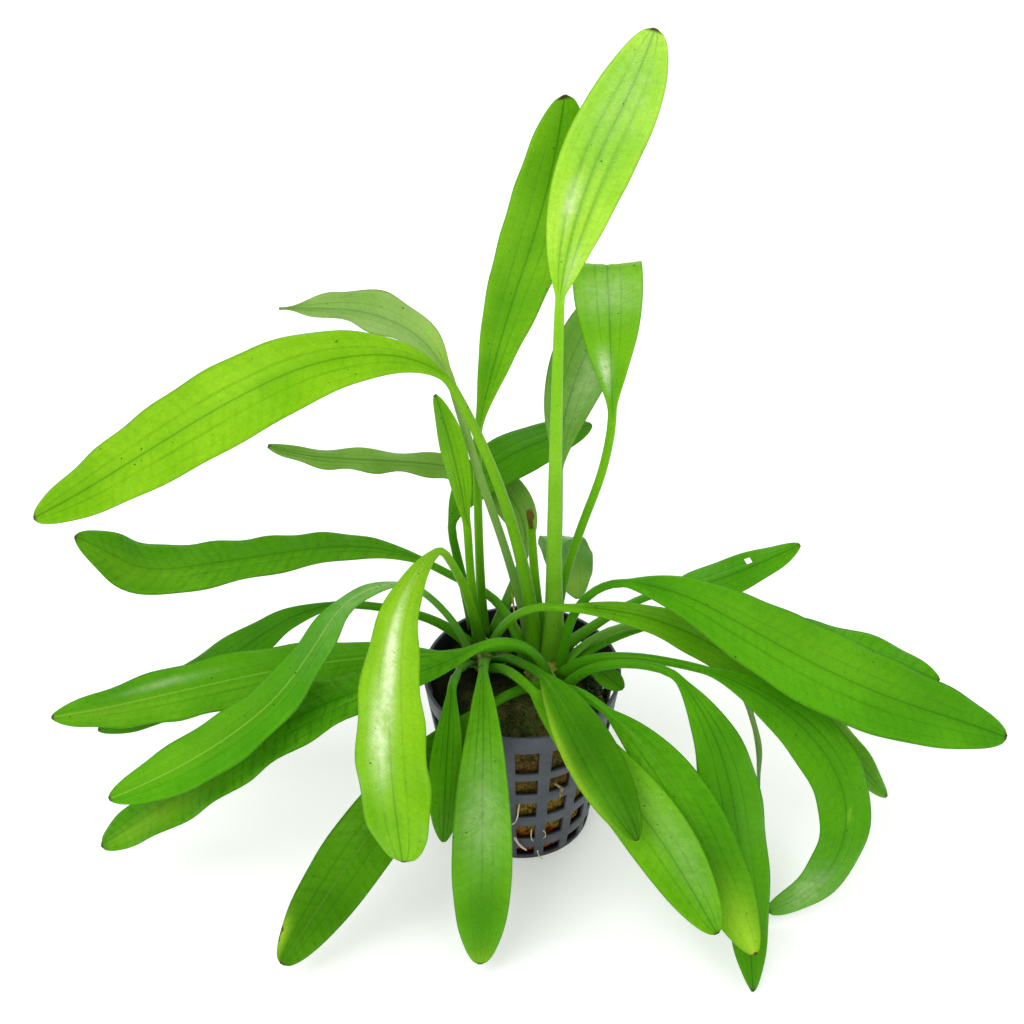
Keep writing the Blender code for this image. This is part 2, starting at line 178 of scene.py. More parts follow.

# The leaves' shared tones, how each leaf's own tones vary, the half widths of the midrib's line
# and of the shade beside it, and the cross veins.
# The pale tone is a painted sheen, laid on by the pale marks.
LEAF = {
    "sheen": (0.55, 1.0, 0.12), "shade": (0.42, 0.60, 0.5), "crown shade": (0.048, 0.22, 0.003),
    "rib": (0.42, 0.66, 0.10), "rib shade": (0.6, 0.7, 0.6), "yellow": (0.36, 0.62, 0.03),
    "pale": (0.76, 0.89, 0.52), "under side": (0.20, 0.38, 0.08), "brown": (0.10, 0.055, 0.012),
    "tip": (0.05, 0.045, 0.01), "speck": (0.03, 0.06, 0.005),
}
WARMTH = (0.94, 1.06)
RIB_LINE = 0.34
RIB_SHADE = 1.9
RUNG_SPACING = 3.3
RUNG_SLANT = 0.7
RUNG_WOBBLE = 6.0
HATCH_SPACING = 0.9

TO_VIEWER = (0, -1, 0.4)
UPWARD = (0, -0.4, 0.9)

# Each leaf has a root point, and then a stalk and a blade, each with its length and the headings
# that it turns through evenly from its start to its end. A heading is a bearing (0 is +X, 90 is
# +Y, away from the viewer) and a rise over the horizontal, in degrees. Then come how wide the
# blade is, where along it is widest, how slender its neck and how blunt its tip is (a smaller
# power is blunter), how far its waist draws in, which way its upper side looks at the foot and at
# the tip and between which shares of the blade it turns from one to the other, how far its edges
# rise over the midrib for each millimetre of half width, and how stout the stalk is at its root.
#
# The rest is its look: its tone, how far its edges wave, how pale its midrib is, how plain its
# cross veins are, and its marks. A mark is a kind, its middle along the blade (0 foot, 1 tip; a
# stalk runs from -1 to 0) and across it (-1 to 1), its reach along and across, and its strength.
# A pale mark is a painted sheen.
# A hole has its place along and across, and how many quads it takes either way.
LEAVES = {
    "leaf_tall_right": dict(
        root=(8, 1, 54), face=TO_VIEWER, cup=0.15, stalk=(106, [(115, 88), (-80, 86)]), girth=2.1,
        blade=(74, [(-58, 81), (-46, 73), (-40, 65), (-50, 70)]),
        width=15.5, widest=0.58, neck=0.7, tip=0.42, tone="fresh", wave=0.3, rungs=0.25, marks=[
            ("pale", 0.36, 0.3, 0.08, 0.2, 0.8), ("pale", 0.12, -0.4, 0.08, 0.3, 0.4),
            ("pale", 0.78, 0, 0.25, 0.9, 0.25), ("dark", -0.5, 0, 0.4, 1, 0.5),
            ("dark", 0.3, 0, 0.5, 0.1, 1.0), ("dark", 0.35, 0.375, 0.45, 0.1, 0.9),
            ("dark", 0.35, -0.375, 0.45, 0.1, 0.9)],
    ),
    "leaf_tall_left": dict(
        root=(-10, 13, 52), face=(0.2, -1, 0.3), cup=0.15, stalk=(60, [(120, 85), (70, 88)]),
        blade=(102, [(-18, 79), (-42, 71), (-76, 71)]), width=15.5, widest=0.64, tip=0.42,
        tone="bright", wave=0.3, rungs=0.25, marks=[
            ("brown", 1.0, 0, 0.01, 1, 0.7), ("dark", 0.3, 0.5, 0.3, 0.4, 0.5)],
    ),
    "leaf_folded_back": dict(
        root=(8.3, 7, 54), face=(0, -1, 0.2), face_end=(0, 1, 0.6), cup=0.1,
        stalk=(66, [(60, 88), (20, 76), (18, 71), (55, 84)]),
        blade=(66, [(250, 84), (250, 80), (250, 80), (252, 76), (80, -66), (78, -64)]),
        width=15.5, widest=0.66, neck=1.15, turn=(0.62, 0.76),
        tone="bright", wave=0.2, rungs=0.2, marks=[
            ("pale", 0.24, 0.35, 0.08, 0.3, 1.0), ("pale", 0.6, 0, 0.1, 1, 0.3)],
    ),
    "leaf_upright_back": dict(
        root=(8, 9, 52), face=(-0.2, -1, 0.4), cup=0.1, stalk=(46, [(80, 74), (95, 80)]),
        blade=(53, [(90, 60), (42, 62), (5, 56)]), width=15.5,
        tone="grey", wave=0.3, rungs=0.2, marks=[
            ("pale", 0.5, -0.4, 0.2, 0.5, 0.3), ("dark", 0.05, 0, 0.2, 1, 0.4)],
    ),
    "leaf_upper_left_front": dict(
        root=(3.4, 2, 54), face=(0.4, -0.7, 0.8), face_end=(0, -0.6, 0.8),
        stalk=(87, [(150, 86), (180, 76), (205, 66)]),
        blade=(109, [(205, 55), (200, 10), (196, -20), (190, -31), (184, -34), (180, -31)]),
        width=18, widest=0.52, tip=0.48, girth=1.7, tone="lime", wave=0.5, rungs=0.35, marks=[
            ("yellow", 0.4, -0.5, 0.25, 0.4, 0.2), ("dark", -0.3, 0, 0.4, 1, 0.35)],
    ),
    "leaf_upper_left_back": dict(
        root=(2, 6, 54), face=(0.2, 1, 0), cup=0.1, stalk=(78, [(140, 76), (160, 72), (155, 76)]),
        blade=(53, [(139, 55), (142, 2), (152, -14), (162, -15)]), width=12.5, widest=0.36, tip=1.15,
        tone="pale", wave=0.9, rungs=0.15, marks=[
            ("yellow", 0.12, 0.6, 0.15, 0.5, 0.5)],
    ),
    "leaf_small_upright": dict(
        root=(-11.5, 9, 54), face=(0.7, -1, 0.1), cup=0.5, stalk=(34, [(180, 85), (140, 88)]),
        blade=(40, [(170, 84), (186, 76)]), width=6.8, widest=0.55,
        tone="bright", wave=0.2, marks=[("brown", 1.0, 0, 0.02, 1, 0.8)],
    ),
    "leaf_back_right": dict(
        root=(-13, 19, 51), face=(0, -0.3, 1), stalk=(25, [(124, 65), (124, 70)]),
        blade=(48, [(70, 58), (32, 26), (24, 8), (20, 6)]), width=14, widest=0.5,
        tone="deep", wave=0.3, rungs=0.2,
    ),
    "leaf_back_left": dict(
        root=(-6, 15, 53), face=(0, -0.3, 1), stalk=(18, [(58, 47)]),
        blade=(86, [(75, 48), (130, 35), (158, 0), (162, -8), (165, -8), (168, -4), (172, 20)]),
        width=11, widest=0.2, tip=0.5, waist=0.3,
        tone="grey", wave=0.8, rungs=0.1, marks=[("dark", 0.25, 0, 0.12, 1, 0.4)],
    ),
    "leaf_back_hanging": dict(
        root=(7, 14, 52), face=(0, 0.3, 1), face_end=(0, 1, 0.2), stalk=(19, [(88, 42), (85, 16)]),
        blade=(58, [(88, 10), (75, -50), (70, -66), (60, -75)]), width=14, widest=0.5,
        tone="mid", wave=0.6, marks=[("yellow", 0.9, 0, 0.2, 1, 0.6)],
    ),
    "leaf_left_kinked": dict(
        root=(0, 4, 54), face=UPWARD, stalk=(34, [(112, 30), (120, 12), (165, 18), (165, 26)]),
        blade=(98, [(160, 15), (168, 2), (175, -11), (178, -13), (180, -11), (182, -8), (195, 46),
                     (186, 36)]),
        width=15, widest=0.78, neck=0.85, waist=0.1, tone="mid", wave=0.6, rungs=0.8, marks=[
            ("yellow", 0.85, 0.3, 0.2, 0.6, 0.2), ("dark", 0.3, -0.6, 0.4, 0.9, 0.7)],
    ),
    "leaf_left_behind": dict(
        root=(-14, 6, 54), face=UPWARD, stalk=(34, [(180, 52), (176, 14), (174, -4)]),
        blade=(79, [(176, -10), (182, -38), (186, -40), (184, -32), (182, -24)]),
        width=12.5, tone="deep", wave=0.4, rungs=0.3,
    ),
    "leaf_left_long": dict(
        root=(4, -3, 54), face=UPWARD,
        stalk=(28, [(200, 85), (195, 40), (180, -10), (178, -14), (180, -14)]),
        blade=(101, [(180, 1), (183, -7), (184, -13), (183, -15), (180, -12)]),
        width=15, neck=0.7, tone="mid", wave=0.7, rib=0.8, rungs=0.3, marks=[
            ("pale", 0.7, -0.45, 0.1, 0.14, 0.3), ("yellow", 0.85, 0.3, 0.2, 0.5, 0.2)],
    ),
    "leaf_left_twisted": dict(
        root=(-13, 2, 54), face=(0, 0.3, 1), face_end=(0, -0.7, 0.8),
        stalk=(28, [(190, 74), (200, 62), (215, 52)]),
        blade=(100, [(215, 50), (212, 5), (222, -45), (215, -45), (202, -34), (194, -30),
                     (186, -29), (182, -27)]),
        width=13.5, widest=0.7, tone="mid", wave=0.5, rib=0.9, rungs=0.1, marks=[
            ("pale", 0.12, 0.2, 0.2, 1, 0.25), ("yellow", 0.75, -0.4, 0.25, 0.6, 0.2)],
    ),
    "leaf_left_broad": dict(
        root=(6, -7, 54), face=UPWARD, stalk=(26, [(205, 82), (208, 50), (205, 4)]),
        blade=(112, [(198, -22), (190, -12), (190, -25), (190, -37), (188, -38), (186, -36)]),
        width=15, widest=0.62, neck=0.8, tip=0.4, tone="mid", wave=1.0, rungs=1.0, marks=[
            ("yellow", 0.86, 0.3, 0.14, 0.5, 0.4), ("dark", 0.3, 0, 0.25, 1, 0.35)],
    ),
    "leaf_front_left_bright": dict(
        root=(-10.5, 5.5, 54), face=(-0.3, -1, 0.4), stalk=(47, [(240, 76), (245, 68), (240, 58)]),
        blade=(84, [(240, 20), (245, -20), (259, -45), (269, -60), (276, -70), (292, -76),
                    (300, -80)]),
        width=17.5, widest=0.74, tip=0.36, tone="bright", wave=0.9, rungs=0.25, marks=[
            ("yellow", 0.3, 0, 0.35, 1, 0.7),
            ("pale", 0.4, -0.05, 0.15, 0.2, 1.6), ("pale", 0.6, -0.3, 0.12, 0.25, 1.1)],
    ),
    "leaf_front_left_low": dict(
        root=(7, -10, 54), face=(-0.3, -1, 0.5), stalk=(16, [(205, 26), (214, 8), (216, -6)]),
        blade=(83, [(215, -17), (220, -33), (220, -43), (216, -50)]),
        width=16, neck=0.85, tip=0.45,
        tone="deep", wave=0.5, rib=0.3, rungs=0.6, marks=[
            ("brown", 0.93, -1.0, 0.03, 0.16, 1.0), ("yellow", 0.93, -0.85, 0.06, 0.3, 0.8)],
    ),
    "leaf_front_centre": dict(
        root=(-9, -2, 55), face=(0, -1, 0.4), stalk=(12, [(265, 40), (270, 30)]),
        blade=(81, [(270, 22), (272, -20), (268, -48), (270, -62), (268, -70), (266, -74),
                    (262, -76)]),
        width=14.5, widest=0.66, tip=0.45, tone="clear", wave=0.5, rungs=0.5, marks=[
            ("pale", 0.5, 0, 0.14, 0.7, 0.3), ("dark", 0.15, 0, 0.12, 1, 0.3),
            ("dark", 0.84, 0, 0.18, 1, 1.2), ("yellow", 1.0, 0, 0.05, 1, 0.4)],
    ),
    "leaf_front_small": dict(
        root=(-13.7, -2, 54), face=(-0.2, -1, 0.4), stalk=(18, [(259, 40), (259, 12)]),
        blade=(41, [(267, -4), (266, -42), (263, -66), (264, -78)]), width=8.5,
        tone="mid", wave=0.3, rungs=0.2,
    ),
    "leaf_right_big": dict(
        root=(10, -2.8, 54), face=(0.1, -0.5, 0.9),
        stalk=(37, [(100, 88), (0, 78), (-20, 56), (-35, 26)]),
        blade=(104, [(-14, 8), (-12, -26), (-10, -29), (-6, -25), (-2, -20), (0, -26)]),
        width=21, widest=0.58, neck=0.75, tip=0.5, tone="mid", wave=0.4, rungs=0.35, marks=[
            ("dark", 0.03, 0, 0.12, 1, 0.4), ("yellow", 0.5, 0.4, 0.3, 0.5, 0.12)],
    ),
    "leaf_right_under": dict(
        root=(-8, 3, 54), face=UPWARD, stalk=(33, [(-50, 74), (-40, 61), (-28, 42), (-18, 2)]),
        blade=(104, [(6, -2), (0, -20), (-6, -35), (-12, -39), (-12, -46), (-5, -56)]),
        width=12.5, widest=0.62, neck=0.75,
        tone="clear", wave=0.5, rungs=0.2, marks=[("dark", 0.9, 0, 0.2, 1, 0.5)],
    ),
    "leaf_right_holed": dict(
        root=(12, 6, 54), face=(0, -0.3, 1), stalk=(28, [(38, 12), (36, 8), (30, -4)]),
        blade=(43, [(28, -16), (26, -2), (22, 11), (18, 20)]), width=11, widest=0.45,
        tone="mid", wave=0.4, rungs=0.3, hole=(0.66, 0.25, 2, 3),
    ),
    "leaf_right_back": dict(
        root=(14, 1, 54), face=(0, -0.3, 1), stalk=(25, [(32, 12), (28, 2), (12, 6)]),
        blade=(77, [(14, 2), (7, -24), (1, -18), (-6, -11), (-6, -29)]), width=15,
        tone="mid", wave=0.6, rungs=0.8,
    ),
    "leaf_right_edge_on": dict(
        root=(12, -1, 55), face=(0, 0.5, 1), face_end=(1, 0.2, 0.3), cup=0.1,
        stalk=(24, [(40, 30), (20, 12), (0, -20)]),
        blade=(60, [(-5, -10), (-15, -36), (-30, -60), (-60, -72), (-80, -82)]),
        width=9, widest=0.45, tip=0.9, tone="grey", wave=0.2,
    ),
    "leaf_right_curled": dict(
        root=(11, -6, 55), face=(0.2, -0.7, 0.7), face_end=(0.2, -1, 0.4),
        stalk=(36, [(-18, 55), (-16, 20), (-14, 2), (-14, -6)]),
        blade=(91, [(-14, -8), (-14, -26), (-18, -38), (-28, -50), (-58, -66), (-130, -68),
                    (-160, -40), (-172, -16)]),
        width=14, widest=0.45, tip=0.42, tone="mid", wave=0.5, rungs=0.35, marks=[
            ("pale", 0.88, 0, 0.08, 1, 0.3), ("dark", 0.4, 0, 0.35, 1, 0.45),
            ("yellow", 0.62, 0.1, 0.01, 0.06, 1.0)],
    ),
    "leaf_right_front": dict(
        root=(11, -10, 54), face=(0.4, -0.9, 0.5), stalk=(31, [(-20, 62), (-16, 22), (-22, -8)]),
        blade=(84, [(-32, -38), (-45, -48), (-58, -62), (-62, -70), (-70, -60), (-90, -30),
                    (-90, -18)]),
        width=16, widest=0.45, tone="mid", wave=0.4, rungs=0.2, marks=[
            ("pale", 0.55, -0.3, 0.012, 0.07, 1.0), ("brown", 0.58, -0.25, 0.008, 0.06, 0.9),
            ("dark", 0.6, -0.2, 0.3, 0.4, 0.4)],
    ),
    "leaf_front_right_top": dict(
        root=(-6, -2, 55), face=(0.2, -1, 0.5), stalk=(20, [(-70, 54), (-50, 20), (-45, 4)]),
        blade=(49, [(-62, 0), (-64, -14), (-62, -20), (-58, -30)]), width=13, widest=0.55, neck=0.65,
        tone="deep", wave=0.3, rib=0.4, rungs=0.2, marks=[
            ("dark", 0.7, 0.3, 0.5, 0.9, 1.0), ("yellow", 0.45, -1.0, 0.45, 0.25, 0.8)],
    ),
    "leaf_front_right_mid": dict(
        root=(-7, -5, 55), face=(0.2, -1, 0.5), stalk=(18, [(-62, 45), (-55, 18), (-52, -8)]),
        blade=(73, [(-38, -27), (-46, -23), (-50, -17), (-50, -36), (-41, -50)]),
        width=15.5, neck=0.6, tip=0.5, tone="clear", wave=0.5, rungs=0.35, marks=[
            ("dark", 0.12, 0, 0.22, 1, 0.9), ("pale", 0.7, 0.4, 0.2, 0.5, 0.15)],
    ),
    "leaf_front_right_low": dict(
        root=(8, -13, 54), face=(0.3, -1, 0.5), stalk=(19, [(-55, 65), (-45, 15), (-30, -28)]),
        blade=(69, [(-32, -22), (-47, -27), (-52, -44), (-52, -48), (-50, -52)]),
        width=15, widest=0.58, neck=0.7, tone="mid", wave=0.4, rib=0.4, rungs=0.5, marks=[
            ("dark", 0.66, 0.2, 0.12, 0.8, 0.7), ("yellow", 1.0, 0, 0.2, 1, 1.0),
            ("brown", 1.0, 0.2, 0.012, 0.6, 0.8)],
    ),
    "leaf_on_the_rim": dict(
        root=(13.5, -3.4, 55), face=(0.1, -0.6, 0.8), stalk=(3, [(-30, 20)]),
        blade=(11, [(-32, 2), (-30, -18), (-20, -36)]), width=5.5,
        tone="deep", wave=0.2,
    ),
    "stalk_cut_off": dict(
        root=(5, 8, 53), face=TO_VIEWER, cup=0, stalk=(38, [(125, 78), (115, 84)]), blade=None,
        tone="bright", wave=0, marks=[("brown", 0, 0, 0.12, 1, 1.0)],
    ),
}

# Each tone is a light and a deep green.
TONES = {
    "fresh": ((0.40, 0.71, 0.050), (0.25, 0.58, 0.012)),
    "lime": ((0.22, 0.51, 0.008), (0.15, 0.42, 0.003)),
    "bright": ((0.185, 0.49, 0.006), (0.12, 0.39, 0.003)),
    "clear": ((0.13, 0.40, 0.006), (0.085, 0.31, 0.003)),
    "mid": ((0.080, 0.32, 0.003), (0.050, 0.25, 0.002)),
    "deep": ((0.055, 0.235, 0.002), (0.032, 0.165, 0.001)),
    "grey": ((0.16, 0.35, 0.050), (0.11, 0.27, 0.025)),
    "pale": ((0.34, 0.50, 0.14), (0.22, 0.40, 0.06)),
}
MARK_KINDS = ("pale", "dark", "yellow", "brown")

# Roots on the pot, each with a thickness and points at a turn from the front in degrees, a height
# and a reach out of the wall. Loose bits inside have plain points instead.
WHITE_ROOTS = [
    (0.2, [(-1, 24.5, -0.8), (-2, 22.5, 0.8), (-3, 18, 1.0), (-6, 16, 1.0), (-10, 16, 0.6)]),
    (0.38, [(-7, 10, -1.4), (-4, 8.5, 0.4), (0, 6.5, 1.0), (4, 4.5, 0.6)]),
    (0.15, [(8, 12, -0.8), (7, 10, 0.7), (9, 8, 0.5)]),
    (0.15, [(15, 12, -0.8), (19, 10.5, 0.8), (17, 8.5, 0.4)]),
    (0.20, [(14, 4, -1.0), (13, 2, 0.8), (17, 0.6, 1.5)]),
]
BROWN_ROOTS = [
    (0.36, [(23, 29.5, -0.8), (27, 28.5, 1.0), (24, 27, 1.2), (28, 25.5, 0.9), (26, 24, -0.6)]),
]
LOOSE_ROOTS = [
    (0.55, [(-20.5, -11, 45), (-19, -11.5, 47.5), (-17, -10.5, 48.5), (-15, -10, 47.5)]),
    (0.35, [(11, 8, 50), (12, 10, 51.5), (12.5, 13, 50.5), (13.5, 16, 48)]),
]
DRY_BITS = [
    (0.75, [(-11, 3, 52), (-14, 2.6, 52.6), (-17, 2.8, 51.8), (-20, 3.4, 50.8)]),
]
YELLOW_BITS = [
    (0.8, [(-0.5, 8, 52), (-1.6, 9, 58), (-2.2, 9.5, 63), (-2.6, 9.6, 67)]),
]
TUBE_TAPER = 0.65
NEARLY_UP = (0.31, 0.22, 1.0)

# Moss and fibres: how many strands, between which turns in radians and distances from the pot's
# middle, and their greatest length, their thickness at the foot and how steeply they stand. The
# mound that the fibres lie on is flat out to a distance and then drops over its shoulder.
LITTER_SEED = 41
MOSS_SPOTS = (700, (-0.75, 0.75), (15.5, 22.3))
MOSS_HEIGHTS = (43.5, 48.5)
MOSS_STRANDS = (2.0, 0.16, 0.9)
FIBRE_SPOTS = (170, (-2.4, -0.75), (9.0, 22.0))
FIBRE_STRANDS = (1.6, 0.08, 0.12)
FIBRE_SUNK = 0.25
STRAND_RISES = (0.3, 1.0)
STRAND_LENGTHS = (0.5, 1.0)
STRAND_BEND = 0.45
STRAND_TAPER = 0.7
MOUND_FLAT = 15.5
MOUND_SHOULDER = 7.0
MOUND_DROP = 4.6


class Graph:
    """A material whose nodes are added one call at a time, and what is painted so far."""

    def __init__(self, name, roughness=0.5, specular=0.5):
        self.material = bpy.data.materials.new(name)
        self.material.use_nodes = True
        self.tree = self.material.node_tree
        self.shader = self.tree.nodes["Principled BSDF"]
        self.shader.inputs["Roughness"].default_value = roughness
        self.shader.inputs["Specular IOR Level"].default_value = specular
        self.colour = None

    def add(self, kind, inputs=None, **settings):
        node = self.tree.nodes.new(kind)
        for key, value in settings.items():
            setattr(node, key, value)
        for key, value in (inputs or {}).items():
            self.plug(node.inputs[key], value)
        return node

    def plug(self, socket, value):
        if isinstance(value, bpy.types.NodeSocket):
            self.tree.links.new(value, socket)
        elif socket.type == "RGBA" and len(value) == 3:
            socket.default_value = (*value, 1.0)
        else:
            socket.default_value = value

    def math(self, operation, *values):
        inputs = dict(enumerate(values))
        return self.add("ShaderNodeMath", inputs, operation=operation).outputs[0]

    def times(self, *values):
        """The product of all the values."""
        product = values[0]
        for value in values[1:]:
            product = self.math("MULTIPLY", product, value)
        return product

    def plus(self, first, second):
        return self.math("ADD", first, second)

    def minus(self, first, second):
        return self.math("SUBTRACT", first, second)

    def mix(self, share, first, second, blend="MIX"):
        inputs = {0: share, 6: first, 7: second}
        return self.add("ShaderNodeMix", inputs, data_type="RGBA", blend_type=blend).outputs[2]

    def paint(self, tone, *shares):
        """Lays a tone over what is painted so far, as strongly as the product of the shares."""
        self.colour = self.mix(self.times(*shares), self.colour, tone)

    def span(self, value, low, high, start=0.0, end=1.0):
        inputs = {"Value": value, "From Min": low, "From Max": high, "To Min": start, "To Max": end}
        return self.add("ShaderNodeMapRange", inputs, interpolation_type="SMOOTHSTEP").outputs[0]

    def line(self, value, middle, reach):
        """1 where value is at middle, falling to 0 a reach away."""
        return self.span(self.math("ABSOLUTE", self.minus(value, middle)), reach, 0.0)

    def stripes(self, value, spacing, low):
        """Soft stripes, one every spacing, and the higher low is the narrower they are."""
        return self.span(self.math("SINE", self.times(value, 2 * math.pi / spacing)), low, 1.0)

    def position(self):
        """The three coordinates of a point in the piece's own space, in metres."""
        place = self.add("ShaderNodeTexCoord").outputs["Object"]
        return self.add("ShaderNodeSeparateXYZ", {0: place}).outputs

    def noise(self, scale, detail=3.0, rough=0.5, bend=0.0, stretch=None):
        place = self.add("ShaderNodeTexCoord").outputs["Object"]
        if stretch:
            place = self.add("ShaderNodeMapping", {"Vector": place, "Scale": stretch}).outputs[0]
        inputs = {"Vector": place, "Scale": scale, "Detail": detail, "Roughness": rough}
        inputs["Distortion"] = bend
        return self.add("ShaderNodeTexNoise", inputs).outputs[0]

    def layer(self, name):
        """The two values of one of the piece's coordinate layers."""
        place = self.add("ShaderNodeUVMap", uv_map=name).outputs[0]
        parts = self.add("ShaderNodeSeparateXYZ", {0: place}).outputs
        return parts[0], parts[1]

    def colours(self, name):
        """The colour and the fourth value of one of the piece's colour layers."""
        outputs = self.add("ShaderNodeAttribute", attribute_name=name).outputs
        return outputs[0], outputs["Alpha"]

    def finish(self, height=None, distance=0.0003, strength=1.0, roughness=None):
        """The material with what is painted, bumps of that height and that roughness."""
        self.plug(self.shader.inputs["Base Color"], self.colour)
        if roughness is not None:
            self.plug(self.shader.inputs["Roughness"], roughness)
        if height is not None:
            inputs = {"Height": height, "Distance": distance, "Strength": strength}
            bump = self.add("ShaderNodeBump", inputs)
            self.plug(self.shader.inputs["Normal"], bump.outputs[0])
        return self.material


def leaf_material(name, upper):
    """Living leaf: two greens in soft patches, a midrib, long veins and a ladder of cross veins.

    It reads the layers that layer_leaf makes.
    """
    g = Graph(name, specular=0.32 if upper else 0.22)
    g.shader.inputs["Specular Tint"].default_value = (*LEAF["sheen"], 1.0)
    across, along = g.layer("Place")
    x, distance = g.layer("Size")
    across, x = g.math("ABSOLUTE", across), g.math("ABSOLUTE", x)
    light, rib_paleness = g.colours("Light")
    deep, rung_strength = g.colours("Deep")
    on_blade = g.span(along, -0.02, 0.08)
    fine = g.noise(1500, 2, 0.6)
    grain = g.noise(420, 3, 0.6)
    g.colour = g.mix(g.span(g.noise(48, 2), 0.3, 0.7), deep, light)
    dark = g.mix(1.0, g.colour, LEAF["shade"], "MULTIPLY")

    wobble = g.times(g.noise(120, 2), RUNG_WOBBLE)
    slant = g.plus(g.minus(distance, g.times(x, RUNG_SLANT)), wobble)
    rungs = g.times(g.stripes(slant, RUNG_SPACING, -0.2), g.span(grain, 0.3, 0.6))
    rungs = g.times(rungs, rung_strength, on_blade)
    hatch = g.times(g.stripes(slant, HATCH_SPACING, 0.5), g.span(g.noise(200, 2), 0.45, 0.65))
    hatch = g.times(hatch, on_blade)
    g.paint(dark, rungs, 0.5)
    g.paint(light, hatch, 0.22)
    g.paint(dark, g.span(g.noise(750, 1, 0.5), 0.56, 0.66), 0.16)
    g.paint(dark, g.span(along, 0.02, -0.1, 0.0, 0.28))
    # Painted shade: the stalks darken towards the crown, where the leaves crowd together.
    g.paint(LEAF["crown shade"], g.span(along, -0.3, -0.9, 0.0, 0.75))

    fading = g.span(g.noise(70, 2), 0.35, 0.65, 0.45, 1.0)
    outer_vein = g.times(g.line(across, VEINS[1], 0.04), 0.4)
    veins = g.math("MAXIMUM", g.line(across, VEINS[0], 0.05), outer_vein)
    veins = g.times(veins, fading, on_blade)
    g.paint(dark, g.line(x, 0.0, RIB_SHADE), on_blade, 0.22)
    g.paint(dark, veins, 0.45)
    pale_rib = g.mix(0.5, light, LEAF["rib"])
    dark_rib = g.mix(1.0, dark, LEAF["rib shade"], "MULTIPLY")
    g.paint(g.mix(rib_paleness, dark_rib, pale_rib), g.line(x, 0.0, RIB_LINE), on_blade, 0.7)
    # A paler band just inside the edge: partly the margin's own colour, partly painted light shining
    # through the thin edge.
    g.paint(light, g.line(across, 0.91, 0.08), on_blade, 0.4)
    g.paint(dark, g.span(across, 0.965, 1.0), on_blade, 0.55)

    marks, brown = g.colours("Marks")
    pale, darker, yellow = g.add("ShaderNodeSeparateColor", {0: marks}).outputs
    sheen_streaks = g.span(g.plus(g.times(hatch, 0.4), grain), 0.3, 0.75, 0.45, 1.0)
    torn = g.span(g.plus(brown, g.span(grain, 0.3, 0.7, -0.3, 0.3)), 0.4, 0.6)
    g.paint(dark, darker, 0.85)
    g.paint(LEAF["yellow"], yellow, 0.8)
    # Painted sheen: the pale marks lay whitish streaks of gloss into the colour.
    g.paint(LEAF["pale"], pale, sheen_streaks, 0.9)
    if not upper:
        g.paint(LEAF["under side"], 0.25)
    g.paint(LEAF["brown"], torn)
    g.paint(LEAF["tip"], g.span(along, 0.988, 1.0))
    g.paint(LEAF["speck"], g.span(g.noise(1300, 0), 0.84, 0.87))
    shade = g.span(fine, 0.3, 0.7, 0.93, 1.06)
    shade = g.add("ShaderNodeCombineColor", {0: shade, 1: shade, 2: shade}).outputs[0]
    g.colour = g.mix(1.0, g.colour, shade, "MULTIPLY")
    sunk = g.plus(g.times(veins, 0.6), g.times(rungs, 0.5))
    height = g.minus(g.times(g.plus(fine, grain), 0.2), sunk)
    rough = g.span(grain, 0.2, 0.8, 0.30, 0.44) if upper else 0.6
    return g.finish(height, 0.00022, 0.8, rough)


def pot_material():
    """Dark bluish grey moulded plastic: worn light edges, a film of dirt, and black shade within."""
    g = Graph("pot_plastic", specular=0.4)
    edges = g.add("ShaderNodeNewGeometry").outputs["Pointiness"]
    x, y, z = g.position()
    grain = g.noise(500, 4, 0.65)
    cloud = g.noise(120, 4, 0.6)
    g.colour = g.mix(g.span(cloud, 0.3, 0.7), POT["deep"], POT["light"])
    g.paint(POT["dust"], g.span(grain, 0.5, 0.8), 0.35)
    g.paint(POT["worn"], g.span(edges, 0.52, 0.60), g.span(grain, 0.3, 0.7, 0.3, 1.0), 0.6)
    g.paint(POT["dirt"], g.span(z, DIRT_HEIGHT * MM, 0.0), g.span(cloud, 0.35, 0.65), 0.5)
    away = g.math("SQRT", g.plus(g.times(x, x), g.times(y, y)))
    wall = g.plus(g.times(z, SLOPE), BASE_RADIUS * MM)
    # Painted shade: the inner side of the wall is darkened nearly to black.
    g.paint(POT["within"], g.span(g.minus(wall, away), 0.5 * MM, 0.95 * MM), 0.9)
    # Painted shade: the lowest millimetre, where the pot stands on the floor, is darkened nearly to
    # black.
    g.paint(POT["under"], g.span(z, 1.1 * MM, 0.6 * MM))
    height = g.plus(grain, g.noise(2200, 2))
    return g.finish(height, 0.00012, 0.6, g.span(grain, 0.2, 0.8, 0.36, 0.6))


